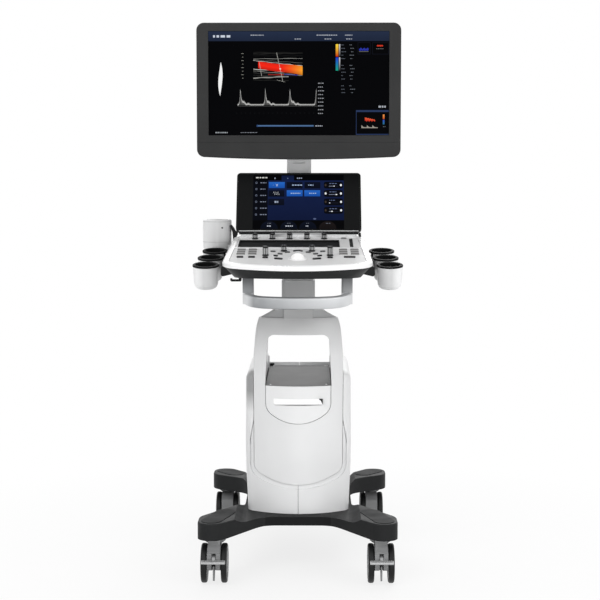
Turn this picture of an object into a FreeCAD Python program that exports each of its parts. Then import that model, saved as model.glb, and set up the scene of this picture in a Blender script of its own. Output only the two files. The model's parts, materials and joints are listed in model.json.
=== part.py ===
import FreeCAD, Part
import math
import os

# Ultrasound scanner on a wheeled cart. Millimetres, +Z up, the operator stands at -Y, +X is to the right.
# The floor is Z = 0 and the origin lies on it, in the middle of the length and the width.

Vector = FreeCAD.Vector
os.makedirs("parts", exist_ok=True)

# Fits and gaps
seat_gap = 0.3              # between parts of different bodies that face each other
seam_gap = 1.0              # open seam between two neighbouring covers
running_gap = 0.05          # radial clearance of a shaft in its bore
slide_gap = 0.1             # clearance of the mast in its sleeve

# Casters
wheel_radius = 49.0
wheel_width = 15.0
wheel_spacing = 35.0        # gap between the two wheels of a caster
caster_half_track = 207.0
caster_half_base = 288.0    # wheel contact, measured from the middle of the base
caster_trail = 18.0
caster_middle_y = 32.0
axle_radius = 5.0
stem_radius = 8.0
stem_length = 32.0
pedal_width = 58.0
pedal_thickness = 7.0
pedal_neck_half = 4.0
pedal_pin = 2.5
pedal_pivot = (-40.0, 75.0)  # Y and Z, from the stem's axis and the floor

# Base chassis
base_middle_y = 35.0
base_half_length = 335.0
base_half_width = 248.0
base_bridge_half = 88.0     # straight part of the front edge
base_bridge_reach = 204.0
base_waist_half = 140.0
base_waist_front, base_waist_rear = 90.0, 185.0
pad_root_inset = 64.0       # the pads end here, before the top slopes down to the deck
foot_top = 157.0
foot_bottom = 115.0
deck_top = 144.0
bridge_bottom = 121.5
pad_height = 1.2
pad_radius = 26.0

# Column covers
bow_radius = 200.0          # curve of the front of the column, seen from above
cover_wall = 3.5
body_bottom = deck_top + seat_gap
body_top = 505.0
body_rear = 322.0
body_half_width = 137.0
body_foot_half_width = 131.0
body_corner = 30.0
body_rear_corner = 36.0
shoulder_round = 24.0
arm_root_rear = -34.0       # the arms reach down to the shelf in front of this line
shield_wall = 4.0
shield_bottom = 219.0
shield_corner_z = 250.0
hood_top = 645.0
band_width = 11.0           # recessed band round the shield
band_depth = 4.0
window_top = 602.0
window_half_top = 80.0
window_half_bottom = 86.0
window_corner = 20.0

# Printer shelf, bay and pocket panel
shelf_top = 470.0
shelf_half_width = 85.0
sheet = 3.0
bay_floor = 350.0
pocket_corner_z = 402.0
pocket_bottom = 374.0
slot_half_width = 64.0
slot_bottom = 421.0
slot_top = 438.0
rear_lip = 8.0
shelf_screw_front = -72.0
shelf_rear_y = 304.0

# Rear panel, mains inlet and probe sockets
rear_half_width = 96.0
rear_bottom = 176.0
vent_bottom, vent_pitch, vent_height, vent_count = 232.0, 11.0, 5.0, 9
vent_half_width = 70.0
inlet_x, inlet_z = -55.0, 202.0
inlet_half_width, inlet_half_height = 24.0, 13.5
port_first_y, port_pitch, port_count = 70.0, 54.0, 4
port_width, port_height = 42.0, 66.0
port_z = 378.0
port_frame = 8.0
port_depth = 18.0

# Lift
lift_y = -44.0
neck_half_width = 43.0
neck_half_depth = 35.0
neck_wall = 5.0
neck_top = 742.0
tongue_half = 37.0          # the shield runs up in front of the neck between these sides
collar_top = 666.0
collar_half_width = 62.0
lift_stroke = 70.0
frame_plate = 4.0
frame_depth = 18.0
frame_front_y = -68.0
bridge_plate_bottom = 607.0
bridge_plate_top = 621.0
gas_radius = 11.0
gas_wall = 1.5
gas_rod_radius = 4.0
swivel_radius = 18.0
swivel_height = 18.0

# Console
console_tilt = 9.0
console_rear_y = 2.0
console_rear_z = 853.0
console_length = 372.0
console_half_front = 185.0
console_half_rear = 169.0
console_bow = 430.0
console_corner = 45.0
console_rear_corner = 24.0
rim_height = 11.0
rim_round = 5.0
top_plate = 9.0
deck_sink = 2.0
deck_plate = 4.0
deck_margin = 15.0
deck_ledge = 5.0
ridge_y = -148.0
ridge_width = 8.0
console_bottom = 764.0
shell_wall = 3.5
shell_inset = 2.0
shell_draft = 26.0

# Controls on the deck; the second number runs from the rear edge towards the operator
key_travel = 1.2
key_gap = 0.4
key_width = 20.0
key_depth = 9.0
key_rise = 2.6
key_rows = [-170.0, -195.0, -220.0]
key_columns = [113.0, 141.5]
wide_key_row = -255.0
knob_radius = 7.2
knob_shaft = 3.0
rear_knob_height = 15.5
short_knob_height = 16.0
tall_knob_height = 24.0
rear_knob_row = -30.0
rear_knob_first = -113.0
rear_knob_pitch = 45.0
tall_knob_place = (79.5, -236.0)
short_knob_place = (35.0, -184.0)
arc_key_places = [(62.0, -190.0, 12.0), (26.0, -200.0, -8.0), (44.0, -219.0, 26.0), (54.0, -241.0, 38.0)]
arc_key_width = 13.0
arc_key_depth = 7.0
oval_key_place = (47.0, -275.0, 20.0)
oval_key_width = 22.0
oval_key_depth = 9.0
ball_radius = 19.0
ball_sink = 3.0
ball_y = -276.0
ring_radius = 23.0
dial_radius = 12.0
dial_width = 5.0
dial_y = -183.0
tray_left, tray_right = -153.0, 106.0
tray_rear, tray_front = -43.0, -134.0
tray_drop = 5.0
strip_x, strip_width = 136.0, 9.0
power_key_place = (118.0, -26.5)

# Handle, hook, holders and gel warmer
handle_half_width = 134.0
handle_reach = 355.0        # front of the bar, along the deck from its rear edge
handle_back = 268.0
handle_top = 81.5           # below the deck
handle_height = 28.0
handle_thickness = 15.0
handle_corner = 66.0
leg_width = 27.0
leg_depth = 32.0
cup_radius = 32.0
cup_foot_radius = 30.0
cup_wall = 4.2
cup_height = 62.0
cup_drop = 24.0             # rim below the deck
cup_first_y = -236.0
cup_pitch = 84.0
cup_first_x = 227.0
cup_step_x = 6.0
liner_wall = 2.5
liner_rim = 4.5
liner_depth = 40.0
warmer_radius = 37.5
warmer_bore = 28.0
warmer_x, warmer_y = -214.0, 12.0
warmer_bottom, warmer_top = 815.0, 896.0

# Touch panel
touch_tilt = 28.9
touch_edge_y, touch_edge_z = 22.0, 864.0
touch_half_width = 166.0
touch_length = 176.0
touch_thickness = 20.0
touch_corner = 10.0
touch_glass_inset = 5.0
glass = 3.0
barrel_radius = 8.0
barrel_half_length = 64.0
barrel_y, barrel_z = 24.0, 853.0
hinge_pin = 3.0
hinge_ear = 12.0

# Monitor and its post
monitor_half_width = 270.0
monitor_top = 1412.0
monitor_corner_z = 1061.0
monitor_sag = 7.5
monitor_corner = 20.0
monitor_front_y = 55.0
bezel_depth = 15.0
screen_half_width = 239.0
screen_bottom, screen_top = 1117.0, 1390.0
screen_y = 60.0
back_depth = 32.0
back_inset = 34.0
boss_half_width, boss_half_height, boss_depth = 105.0, 80.0, 12.0
post_y = 92.0
post_half_width = 33.0
post_thickness = 30.0
post_base_radius = 30.0
post_knee_z = 990.0         # here the leaning neck turns upright
block_half_width = 62.0
block_rear = 126.0
block_top = 848.0
block_bottom = 798.0
post_base_height = 8.0
tilt_y, tilt_z = 190.0, 1052.0
tilt_barrel_radius = 18.0
tilt_pin = 6.0
knuckle_half = 16.0


# Small helpers ------------------------------------------------------------------------------------

def place_point(plane, a, b, level):
    """A point of a flat outline: plane xy, xz or yz, with level along the third axis."""
    if plane == "xy":
        return Vector(a, b, level)
    if plane == "xz":
        return Vector(a, level, b)
    return Vector(level, a, b)


def rounded_wire(corners, plane="xy", level=0.0):
    """Closed wire through corners (a, b, radius), each rounded by a tangent arc."""
    points = [place_point(plane, a, b, level) for a, b, _ in corners]
    starts, middles, ends = [], [], []
    for index, (_, _, radius) in enumerate(corners):
        corner = points[index]
        to_last = (points[index - 1] - corner).normalize()
        to_next = (points[(index + 1) % len(points)] - corner).normalize()
        half = math.acos(max(-1.0, min(1.0, to_last.dot(to_next)))) / 2
        reach = radius / math.tan(half)
        starts.append(corner + to_last * reach)
        ends.append(corner + to_next * reach)
        bisector = (to_last + to_next).normalize() if radius else Vector(0, 0, 0)
        middles.append(corner + bisector * (radius / math.sin(half) - radius))
    edges = []
    for index, (_, _, radius) in enumerate(corners):
        if radius:
            edges.append(Part.Arc(starts[index], middles[index], ends[index]).toShape())
        following = (index + 1) % len(corners)
        if ends[index].distanceToPoint(starts[following]) > 1e-6:
            edges.append(Part.LineSegment(ends[index], starts[following]).toShape())
    return Part.Wire(edges)


def slab(wire, direction):
    return Part.Face(wire).extrude(direction)


def mirrored_corners(half):
    """Corners of a shape that is the same left and right, from its right half, in order."""
    return half + [(-a, b, radius) for a, b, radius in reversed(half)]


def bar(x0, x1, y0, y1, z0, z1):
    return Part.makeBox(x1 - x0, y1 - y0, z1 - z0, Vector(x0, y0, z0))


def disc(radius, height, centre, axis=Vector(0, 0, 1)):
    return Part.makeCylinder(radius, height, centre, axis)


def turned(profile, centre):
    """Solid of revolution about the vertical through centre; profile is a list of (radius, z)."""
    points = [Vector(radius, 0, z) for radius, z in profile]
    face = Part.Face(Part.makePolygon(points + points[:1]))
    solid = face.revolve(Vector(0, 0, 0), Vector(0, 0, 1), 360)
    return solid.translated(centre)


def fused(shapes):
    whole = shapes[0]
    for shape in shapes[1:]:
        whole = whole.fuse(shape)
    return whole.removeSplitter()


def write(name, shapes):
    """One file for each node; a node may hold several separate solids."""
    solids = []
    for shape in shapes if isinstance(shapes, list) else [shapes]:
        solids.extend(shape.Solids)
    Part.makeCompound(solids).exportStep("parts/" + name + ".step")


def bowed_wire(front, rear, half_front, half_rear, bow, corner, rear_corner, level, inset=0.0):
    """Plan outline with a bowed front: an arc in front, slanting sides, a straight rear, round corners."""
    centre_y = front + bow
    side = Vector(half_front - half_rear, front - rear, 0).normalize()
    inward = Vector(side.y, -side.x, 0)
    bow = bow - inset
    corner = corner - inset
    start = Vector(half_rear, rear, 0) + inward * inset
    start = start + side * ((rear - inset - start.y) / side.y)
    # the corner circle touches the side from within and the front arc from within
    offset = start + inward * corner - Vector(0, centre_y, 0)
    b = offset.dot(side)
    c = offset.dot(offset) - (bow - corner) ** 2
    along = -b + math.sqrt(b * b - c)
    middle = start + inward * corner + side * along
    on_side = start + side * along
    away = (middle - Vector(0, centre_y, 0)).normalize()
    on_bow = Vector(0, centre_y, 0) + away * bow
    between = middle + ((on_side - middle).normalize() + away).normalize() * corner
    rear_corner = max(rear_corner - inset, 0.5)
    half = math.acos(side.dot(Vector(-1, 0, 0))) / 2
    reach = rear_corner / math.tan(half)
    rear_side = start + side * reach
    rear_end = start + Vector(-reach, 0, 0)
    rear_bisector = (side + Vector(-1, 0, 0)).normalize()
    rear_between = start + rear_bisector * (rear_corner / math.sin(half) - rear_corner)
    rise = Vector(0, 0, level)

    def flip(point):
        return Vector(-point.x, point.y, point.z)

    def arc(a, m, b):
        return Part.Arc(a + rise, m + rise, b + rise).toShape()

    def line(a, b):
        return Part.LineSegment(a + rise, b + rise).toShape()

    return Part.Wire([
        arc(flip(on_bow), Vector(0, centre_y - bow, 0), on_bow),
        arc(on_bow, between, on_side),
        line(on_side, rear_side),
        arc(rear_side, rear_between, rear_end),
        line(rear_end, flip(rear_end)),
        arc(flip(rear_end), flip(rear_between), flip(rear_side)),
        line(flip(rear_side), flip(on_side)),
        arc(flip(on_side), flip(between), flip(on_bow))])


# Casters ------------------------------------------------------------------------------------------

def caster_fork(braked):
    """Hooded fork about its stem; the wheels trail towards -Y. The stem's axis is X = Y = 0."""
    cheek_half = wheel_spacing / 2 - 1.0
    across = Vector(2 * cheek_half, 0, 0)
    axle = Vector(-cheek_half, -caster_trail, wheel_radius)
    top = foot_bottom - seat_gap
    cheeks = slab(rounded_wire([
        (axle.y - 46.0, axle.z - 6.0, 6.0), (axle.y - 14.0, axle.z - 16.0, 12.0),
        (axle.y + 14.0, axle.z - 16.0, 12.0), (24.0, axle.z + 16.0, 14.0), (26.0, top - 6.0, 3.0),
        (-26.0, top - 6.0, 10.0), (axle.y - 40.0, axle.z + 34.0, 12.0)], "yz", -cheek_half), across)
    hood = disc(wheel_radius + 3.0, across.x, axle, across)
    over = 2 * wheel_radius + 0.8
    crown = turned([(0.0, top - 16.0), (cheek_half - 0.5, top - 16.0), (cheek_half - 0.5, over), (22.0, over),
                    (27.0, over + 4.0), (27.0, top), (0.0, top)], Vector(0, 0, 0))
    stem = disc(stem_radius, stem_length, Vector(0, 0, top))
    fin = slab(rounded_wire([(axle.y - 44.0, axle.z + 2.0, 2.0), (axle.y - 40.0, axle.z - 34.0, 2.0),
                             (axle.y - 30.0, axle.z - 38.0, 2.0), (axle.y - 6.0, axle.z - 10.0, 4.0),
                             (axle.y - 6.0, axle.z + 2.0, 0.0)], "yz", -2.0), Vector(4.0, 0, 0))
    bore = disc(axle_radius + running_gap, 2 * across.x, axle - across / 2, across)
    fork = fused([cheeks.common(hood), crown, stem])
    if braked:
        slot_half = pedal_neck_half + 1.2
        slot = bar(-slot_half, slot_half, axle.y - 60.0, axle.y - 8.0, axle.z - 30.0, top - 16.0)
        pin_y, pin_z = pedal_pivot
        pin_bore = disc(pedal_pin + running_gap, 2 * across.x, Vector(-across.x, pin_y, pin_z), across)
        fork = fork.cut(slot).cut(pin_bore)
    return fork.fuse(fin).cut(bore).removeSplitter()


def caster_wheels():
    """Two rounded wheels with sunk hub faces on one axle."""
    along = Vector(1, 0, 0)
    wheels = []
    for side in (-1, 1):
        inner = side * wheel_spacing / 2
        low = min(inner, inner + side * wheel_width)
        high = low + wheel_width
        wheel = disc(wheel_radius, wheel_width, Vector(low, -caster_trail, wheel_radius), along)
        rims = [edge for edge in wheel.Edges if len(edge.Vertexes) == 1]
        wheel = wheel.makeFillet(5.0, rims)
        dish_low = high - 3.0 if side > 0 else low
        dish = disc(wheel_radius - 13.0, 3.0, Vector(dish_low, -caster_trail, wheel_radius), along)
        cap_low = high - 3.0 if side > 0 else low + 1.0
        cap = disc(13.0, 2.0, Vector(cap_low, -caster_trail, wheel_radius), along)
        wheels.append(wheel.cut(dish).fuse(cap))
    half = wheel_spacing / 2 + wheel_width - 5.0
    axle = disc(axle_radius, 2 * half, Vector(-half, -caster_trail, wheel_radius), along)
    return fused([wheels[0], axle, wheels[1]])


def caster_pedal():
    """Foot lever: a tread bar in front of the wheels, on a neck that turns on a pin in the fork's slot."""
    pin_y, pin_z = pedal_pivot
    bar_back = -caster_trail - wheel_radius - 4.0
    bar_front = bar_back - 15.0
    bar_z = pin_z - 9.0
    half = pedal_thickness / 2
    neck = slab(rounded_wire([
        (pin_y + 7.0, pin_z + 7.0, 6.0), (pin_y + 7.0, pin_z - 7.0, 5.0),
        (bar_back, bar_z - half, 2.0), (bar_front + 4.0, bar_z - half, 1.0),
        (bar_front + 4.0, bar_z + half, 1.0), (bar_back, bar_z + half, 2.0)],
        "yz", -pedal_neck_half), Vector(2 * pedal_neck_half, 0, 0))
    tread = slab(rounded_wire([(bar_back, bar_z - half, 2.0), (bar_back, bar_z + half, 2.0),
                               (bar_front, bar_z + half, 3.0), (bar_front, bar_z - half, 3.0)],
                              "yz", -pedal_width / 2), Vector(pedal_width, 0, 0))
    pin_half = wheel_spacing / 2 - 1.0
    pin = disc(pedal_pin, 2 * pin_half, Vector(-pin_half, pin_y, pin_z), Vector(1, 0, 0))
    return fused([neck, tread, pin])


def build_casters():
    for name, side, end in (("front_left", -1, -1), ("front_right", 1, -1),
                            ("rear_left", -1, 1), ("rear_right", 1, 1)):
        stem_at = Vector(side * caster_half_track, caster_middle_y + end * caster_half_base + caster_trail, 0)
        braked = end < 0
        write("caster_" + name + "_fork", caster_fork(braked).translated(stem_at))
        write("caster_" + name + "_wheels", caster_wheels().translated(stem_at))
        if braked:
            write("caster_" + name + "_pedal", caster_pedal().translated(stem_at))


# Base ---------------------------------------------------------------------------------------------

def base_corners(waist):
    """Plan of the base, one quarter: bridge, leg, nose and waist; the rest mirrors it."""
    half, reach = base_half_width, base_half_length
    return [(base_bridge_half, -base_bridge_reach, 70.0), (half - 52.0, -reach, 36.0),
            (half, -reach, 33.0), (half, -reach + 84.0, 50.0), (base_waist_half, -waist, 90.0)]


def build_base():
    """Moulded chassis: the plan is extruded, the deck is lowered in the middle, the underside is arched."""
    rear = base_corners(base_waist_rear)
    half = base_corners(base_waist_front) + [(a, -b, radius) for a, b, radius in reversed(rear)]
    plan = rounded_wire(mirrored_corners(half), "xy", foot_bottom)
    body = slab(plan, Vector(0, 0, foot_top - foot_bottom)).translated(Vector(0, base_middle_y, 0))
    body = body.makeFillet(4.0, [edge for edge in body.Edges
                                 if all(abs(v.Point.z - foot_top) < 0.01 for v in edge.Vertexes)])
    reach = base_half_length + 20.0
    flat = body_foot_half_width + 7.0
    dip = rounded_wire([(-flat - 34.0, foot_top + 9.0, 0.0), (-flat, deck_top, 30.0), (flat, deck_top, 30.0),
                        (flat + 34.0, foot_top + 9.0, 0.0)], "xz", base_middle_y - reach)
    body = body.cut(slab(dip, Vector(0, 2 * reach, 0)))
    arch = rounded_wire([(-base_half_width + 44.0, foot_bottom - 6.0, 0.0),
                         (-base_half_width + 74.0, foot_bottom, 60.0),
                         (-base_bridge_half, bridge_bottom, 60.0), (base_bridge_half, bridge_bottom, 60.0),
                         (base_half_width - 74.0, foot_bottom, 60.0),
                         (base_half_width - 44.0, foot_bottom - 6.0, 0.0)],
                        "xz", base_middle_y - reach)
    body = body.cut(slab(arch, Vector(0, 2 * reach, 0)))
    pads = []
    for side in (-1, 1):
        for end in (-1, 1):
            stem_y = caster_middle_y + end * caster_half_base + caster_trail
            bore = disc(stem_radius + running_gap, stem_length + 1.0,
                        Vector(side * caster_half_track, stem_y, foot_bottom - 1.0))
            body = body.cut(bore)
            nose = Vector(side * (base_half_width - 34.0), base_middle_y + end * (base_half_length - 36.0), 0)
            run = 130.0 if end < 0 else 72.0
            root = Vector(side * (base_half_width - pad_root_inset),
                          base_middle_y + end * (base_half_length - run), 0)
            well = capsule(nose, root, pad_radius, foot_top - 2.0, 4.0)
            pad = capsule(nose, root, pad_radius - seat_gap, foot_top - 2.0, 2.0 + pad_height)
            body = body.cut(well)
            pads.append(pad)
    write("base_chassis", body)
    write("foot_pads", pads)


def capsule(start, end, radius, bottom, height):
    """Upright slab with round ends between two points of the plan."""
    along = (end - start).normalize()
    across = Vector(-along.y, along.x, 0) * radius
    rise = Vector(0, 0, bottom)
    first, second = start + rise, end + rise
    wire = Part.Wire([
        Part.LineSegment(first + across, second + across).toShape(),
        Part.Arc(second + across, second + along * radius, second - across).toShape(),
        Part.LineSegment(second - across, first - across).toShape(),
        Part.Arc(first - across, first - along * radius, first + across).toShape()])
    return slab(wire, Vector(0, 0, height))


# Column -------------------------------------------------------------------------------------------

# the front line that the arch and the body share: height and front centre
front_line = [(body_bottom, -139.0), (215.0, -136.0), (300.0, -131.0), (385.0, -120.5), (shelf_top, -108.0),
              (body_top, -105.0)]
arch_widths = [118.0, 118.0, 118.0, 119.0, 121.0, 120.5]
body_widths = [body_foot_half_width, 134.0] + [body_half_width] * 4
# the arch: height, front centre, rear, half width in front and at the rear
arch_sections = [(z, front, 50.0, wide, wide - 4.0) for (z, front), wide in zip(front_line, arch_widths)]
arch_sections += [(560.0, -102.0, 38.0, 118.5, 108.0), (window_top, -100.0, 20.0, 115.5, 104.0),
                  (hood_top, -90.0, 2.0, 114.0, 84.0)]
body_sections = [(z, front, wide) for (z, front), wide in zip(front_line, body_widths)]


def arch_solid(inset, low=0, high=None):
    wires = [bowed_wire(front, rear, wide, narrow, bow_radius, 12.0, 12.0, z, inset)
             for z, front, rear, wide, narrow in arch_sections[low:high]]
    return Part.makeLoft(wires, True, False)


def body_solid(inset):
    wires = [bowed_wire(front, body_rear, wide, wide - 0.01, bow_radius, body_corner, body_rear_corner,
                        z, inset) for z, front, wide in body_sections]
    return Part.makeLoft(wires, True, False)


def window_slab(grow):
    """The window from the shelf up, through the whole depth."""
    wire = rounded_wire([(-window_half_bottom - grow, shelf_top, 0.0),
                         (-window_half_top - grow, window_top + grow, window_corner + grow),
                         (window_half_top + grow, window_top + grow, window_corner + grow),
                         (window_half_bottom + grow, shelf_top, 0.0)], "xz", -200.0)
    return slab(wire, Vector(0, 600.0, 0))


def pocket_wire(grow, level):
    """U-shaped outline under the window: straight sides, round corners, a bowed bottom."""
    half = window_half_bottom - 1.0 + grow
    top = shelf_top + 0.5
    corner = 26.0
    left = Vector(-half, level, pocket_corner_z + corner)
    right = Vector(half, level, pocket_corner_z + corner)
    low_left = Vector(-half + corner * 0.75, level, pocket_corner_z - 8.0 - grow)
    low_right = Vector(half - corner * 0.75, level, pocket_corner_z - 8.0 - grow)
    return Part.Wire([
        Part.LineSegment(Vector(-half, level, top), left).toShape(),
        Part.Arc(left, Vector(-half + 5.0, level, pocket_corner_z + 6.0 - grow / 2), low_left).toShape(),
        Part.Arc(low_left, Vector(0, level, pocket_bottom - grow), low_right).toShape(),
        Part.Arc(low_right, Vector(half - 5.0, level, pocket_corner_z + 6.0 - grow / 2), right).toShape(),
        Part.LineSegment(right, Vector(half, level, top)).toShape(),
        Part.LineSegment(Vector(half, level, top), Vector(-half, level, top)).toShape()])


def shield_outline(grow, level):
    """Front view of the shield: slightly slanted sides and a bowed bottom edge with round corners."""
    half = 114.0 + grow
    corner = 24.0
    top = hood_top + 50.0
    left = Vector(-half, level, shield_corner_z + corner)
    right = Vector(half, level, shield_corner_z + corner)
    low_left = Vector(-half + corner, level, shield_corner_z - 9.0 - grow)
    low_right = Vector(half - corner, level, shield_corner_z - 9.0 - grow)
    return Part.Wire([
        Part.LineSegment(Vector(-half - 4.0, level, top), left).toShape(),
        Part.Arc(left, Vector(-half + 6.0, level, shield_corner_z + 2.0 - grow / 2), low_left).toShape(),
        Part.Arc(low_left, Vector(0, level, shield_bottom - grow), low_right).toShape(),
        Part.Arc(low_right, Vector(half - 6.0, level, shield_corner_z + 2.0 - grow / 2), right).toShape(),
        Part.LineSegment(right, Vector(half + 4.0, level, top)).toShape(),
        Part.LineSegment(Vector(half + 4.0, level, top), Vector(-half - 4.0, level, top)).toShape()])


def build_shield():
    """The white arch: hollow arms and hood above the body, a thin skin in front of it."""
    outline = slab(shield_outline(0.0, -250.0), Vector(0, 600.0, 0))
    outer = arch_solid(0.0).common(outline)
    hollow = arch_solid(shield_wall).cut(window_slab(shield_wall))
    hollow = hollow.common(bar(-200, 200, -250, 200, 0, hood_top - shield_wall))
    shell = outer.cut(hollow).cut(window_slab(0.0))
    shell = shell.cut(slab(pocket_wire(0.0, -250.0), Vector(0, 600.0, 0)))
    # below the shoulders of the body the skin keeps only its front, and short returns at its sides
    shell = shell.cut(bar(-200, 200, arm_root_rear, 200, 0, body_top + 2.0))
    neck_hole = bar(-neck_half_width - seat_gap, neck_half_width + seat_gap,
                    lift_y - neck_half_depth - seat_gap,
                    lift_y + neck_half_depth + seat_gap, bridge_plate_top, hood_top + 60.0)
    tongue = slab(rounded_wire([(-92.0, hood_top - 2.0, 0.0), (-80.0, hood_top + 22.0, 4.0),
                                (lift_y, hood_top + 22.0, 0.0), (lift_y, hood_top - 2.0, 0.0)],
                               "yz", -tongue_half), Vector(2 * tongue_half, 0, 0))
    shell = shell.fuse(tongue).cut(neck_hole)
    write("front_shield", largest(shell))


def largest(shape):
    """The main solid of a result, without the loose slivers that a cut can leave."""
    return max(shape.Solids, key=lambda solid: solid.Volume)


def build_side_covers():
    """The body is two half shells that meet in a vertical seam in front."""
    outer = body_solid(0.0)
    edges = [edge for edge in outer.Edges if all(abs(v.Point.z - body_top) < 0.01 for v in edge.Vertexes)]
    outer = outer.makeFillet(shoulder_round, edges)
    socket = arch_solid(-seam_gap).common(bar(-200, 200, -250, arm_root_rear + seam_gap, 0, 700))
    socket = socket.common(slab(shield_outline(seam_gap, -250.0), Vector(0, 600.0, 0)))
    front_layer = outer.cut(body_solid(shield_wall + seam_gap))
    socket = socket.fuse(front_layer.common(slab(shield_outline(seam_gap, -250.0), Vector(0, 170.0, 0))))
    band = outer.cut(body_solid(band_depth))
    band = band.common(slab(shield_outline(band_width, -250.0), Vector(0, 170.0, 0)))
    channel = bar(-shelf_half_width - sheet - seam_gap, shelf_half_width + sheet + seam_gap,
                  -200, body_rear - cover_wall - 2.0, shelf_top - 10.0, body_top + 10)
    channel_walls = bar(-shelf_half_width - 12.0, shelf_half_width + 12.0, -200, body_rear + 10,
                        shelf_top - 10.0,
                        body_top + 10)
    backing = outer.cut(body_solid(band_depth + cover_wall))
    backing = backing.common(slab(shield_outline(band_width + cover_wall, -250.0), Vector(0, 170.0, 0)))
    ceiling = body_top - cover_wall
    hollow = body_solid(cover_wall).common(bar(-200, 200, -250, 400, 0, ceiling))
    inner_edges = [edge for edge in hollow.Edges
                   if all(abs(v.Point.z - ceiling) < 0.01 for v in edge.Vertexes)]
    hollow = hollow.makeFillet(shoulder_round - cover_wall, inner_edges).cut(channel_walls).cut(backing)
    shell = outer.cut(hollow).cut(channel).cut(socket).cut(band)
    lip_cut = bar(-shelf_half_width - 1.0, shelf_half_width + 1.0, body_rear - 40.0, body_rear + 10.0,
                  shelf_top + rear_lip, body_top + 10.0)
    rear_door = bar(-rear_half_width, rear_half_width, body_rear - 30.0, body_rear + 10.0, rear_bottom,
                    shelf_top - 6.0)
    shell = shell.cut(lip_cut).cut(rear_door)
    seat_y = body_rear - 14.0 - seat_gap
    for side in (-1, 1):
        for x0, x1, y1 in ((rear_half_width - 10.0, rear_half_width + cover_wall, seat_y),
                           (rear_half_width, rear_half_width + cover_wall, body_rear - 1.0)):
            low_x, high_x = sorted((side * x0, side * x1))
            shell = shell.fuse(bar(low_x, high_x, seat_y - cover_wall, y1, rear_bottom + 4.0,
                                   shelf_top - 20.0))
    front_gap = seam_gap / 2
    left = shell.common(bar(-200, -front_gap, -250, 400, 0, 700))
    right = shell.common(bar(front_gap, 200, -250, 400, 0, 700))
    write("side_cover_left", largest(left))
    write("side_cover_right", largest(right.cut(port_opening(0.0, port_depth + 6.0))))


def build_rear_cover():
    """Rear panel with vent slots, an opening for the bay and a hole for the mains inlet."""
    half = rear_half_width - seam_gap
    top = shelf_top - 6.0 - seam_gap
    panel = bar(-half, half, body_rear - 14.0, body_rear - 1.0, rear_bottom + seam_gap, top)
    panel = panel.makeFillet(8.0, [edge for edge in panel.Edges
                                   if abs(edge.Vertexes[0].Point.y - edge.Vertexes[-1].Point.y) > 12.0])
    through = (body_rear - 20.0, body_rear + 5.0)
    panel = panel.cut(bar(-half + 4.0, half - 4.0, through[0], body_rear - 5.0, rear_bottom + 5.0,
                          bay_floor - 10.0))
    panel = panel.cut(bar(-shelf_half_width + 6.0, shelf_half_width - 6.0, *through, bay_floor + 4.0,
                          shelf_top - 12.0))
    for row in range(vent_count):
        z = vent_bottom + vent_pitch * row
        panel = panel.cut(bar(-vent_half_width, vent_half_width, *through, z, z + vent_height))
    panel = panel.cut(inlet_bar(seat_gap, *through))
    write("rear_cover", panel)


def inlet_bar(grow, rear, front):
    half, high = inlet_half_width + grow, inlet_half_height + grow
    return bar(inlet_x - half, inlet_x + half, rear, front, inlet_z - high, inlet_z + high)


def build_inlet():
    """Mains inlet: a flanged body with a chamfered throat and three flat pins."""
    flange = inlet_bar(4.5, body_rear - 1.0 + seat_gap, body_rear + 1.3)
    half, high = 12.0, 8.0
    throat = slab(rounded_wire([(inlet_x - half, inlet_z - high, 1.0), (inlet_x + half, inlet_z - high, 1.0),
                                (inlet_x + half, inlet_z + high - 5.0, 0.0),
                                (inlet_x + half - 5.0, inlet_z + high, 0.0),
                                (inlet_x - half + 5.0, inlet_z + high, 0.0),
                                (inlet_x - half, inlet_z + high - 5.0, 0.0)], "xz", body_rear - 18.0),
                  Vector(0, 40.0, 0))
    inlet = inlet_bar(0.0, body_rear - 32.0, body_rear).fuse(flange).cut(throat)
    for pin_x, pin_z in ((0.0, 3.5), (-6.5, -2.5), (6.5, -2.5)):
        inlet = inlet.fuse(bar(inlet_x + pin_x - 1.0, inlet_x + pin_x + 1.0, body_rear - 19.0,
                               body_rear - 3.0,
                               inlet_z + pin_z - 2.0, inlet_z + pin_z + 2.0))
    write("power_inlet", inlet.removeSplitter())


def build_pocket_and_shelf():
    """Front panel with the long slot, and the folded sheet sleeve: shelf on top, bay below."""
    front = arch_solid(1.5)
    skin = front.cut(arch_solid(1.5 + cover_wall)).common(bar(-200, 200, -250, -60.0, 0, shelf_top - 0.5))
    panel = skin.common(slab(pocket_wire(-seam_gap, -250.0), Vector(0, 200.0, 0)))
    slot = slab(rounded_wire([(-slot_half_width, slot_bottom, 5.0), (slot_half_width, slot_bottom, 5.0),
                              (slot_half_width, slot_top, 3.0), (-slot_half_width, slot_top, 3.0)],
                             "xz", -250.0), Vector(0, 200.0, 0))
    write("pocket_panel", largest(panel.cut(slot)))
    nose = bar(-shelf_half_width, shelf_half_width, -300.0, 0.0, bay_floor, shelf_top)
    nose = nose.common(arch_solid(1.5 + cover_wall + seat_gap))
    outer = nose.fuse(bar(-shelf_half_width, shelf_half_width, 0.0, shelf_rear_y, bay_floor, shelf_top))
    outer = outer.removeSplitter()
    inner = bar(-shelf_half_width + sheet, shelf_half_width - sheet, -300.0, shelf_rear_y + 5.0,
                bay_floor + sheet, shelf_top - sheet)
    shelf = outer.cut(inner)
    for x in (-shelf_half_width + 12.0, shelf_half_width - 12.0):
        for y in (shelf_screw_front, shelf_rear_y - 14.0):
            shelf = shelf.cut(disc(2.2, 10.0, Vector(x, y, shelf_top - 6.0)))
    write("printer_shelf", shelf)



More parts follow.
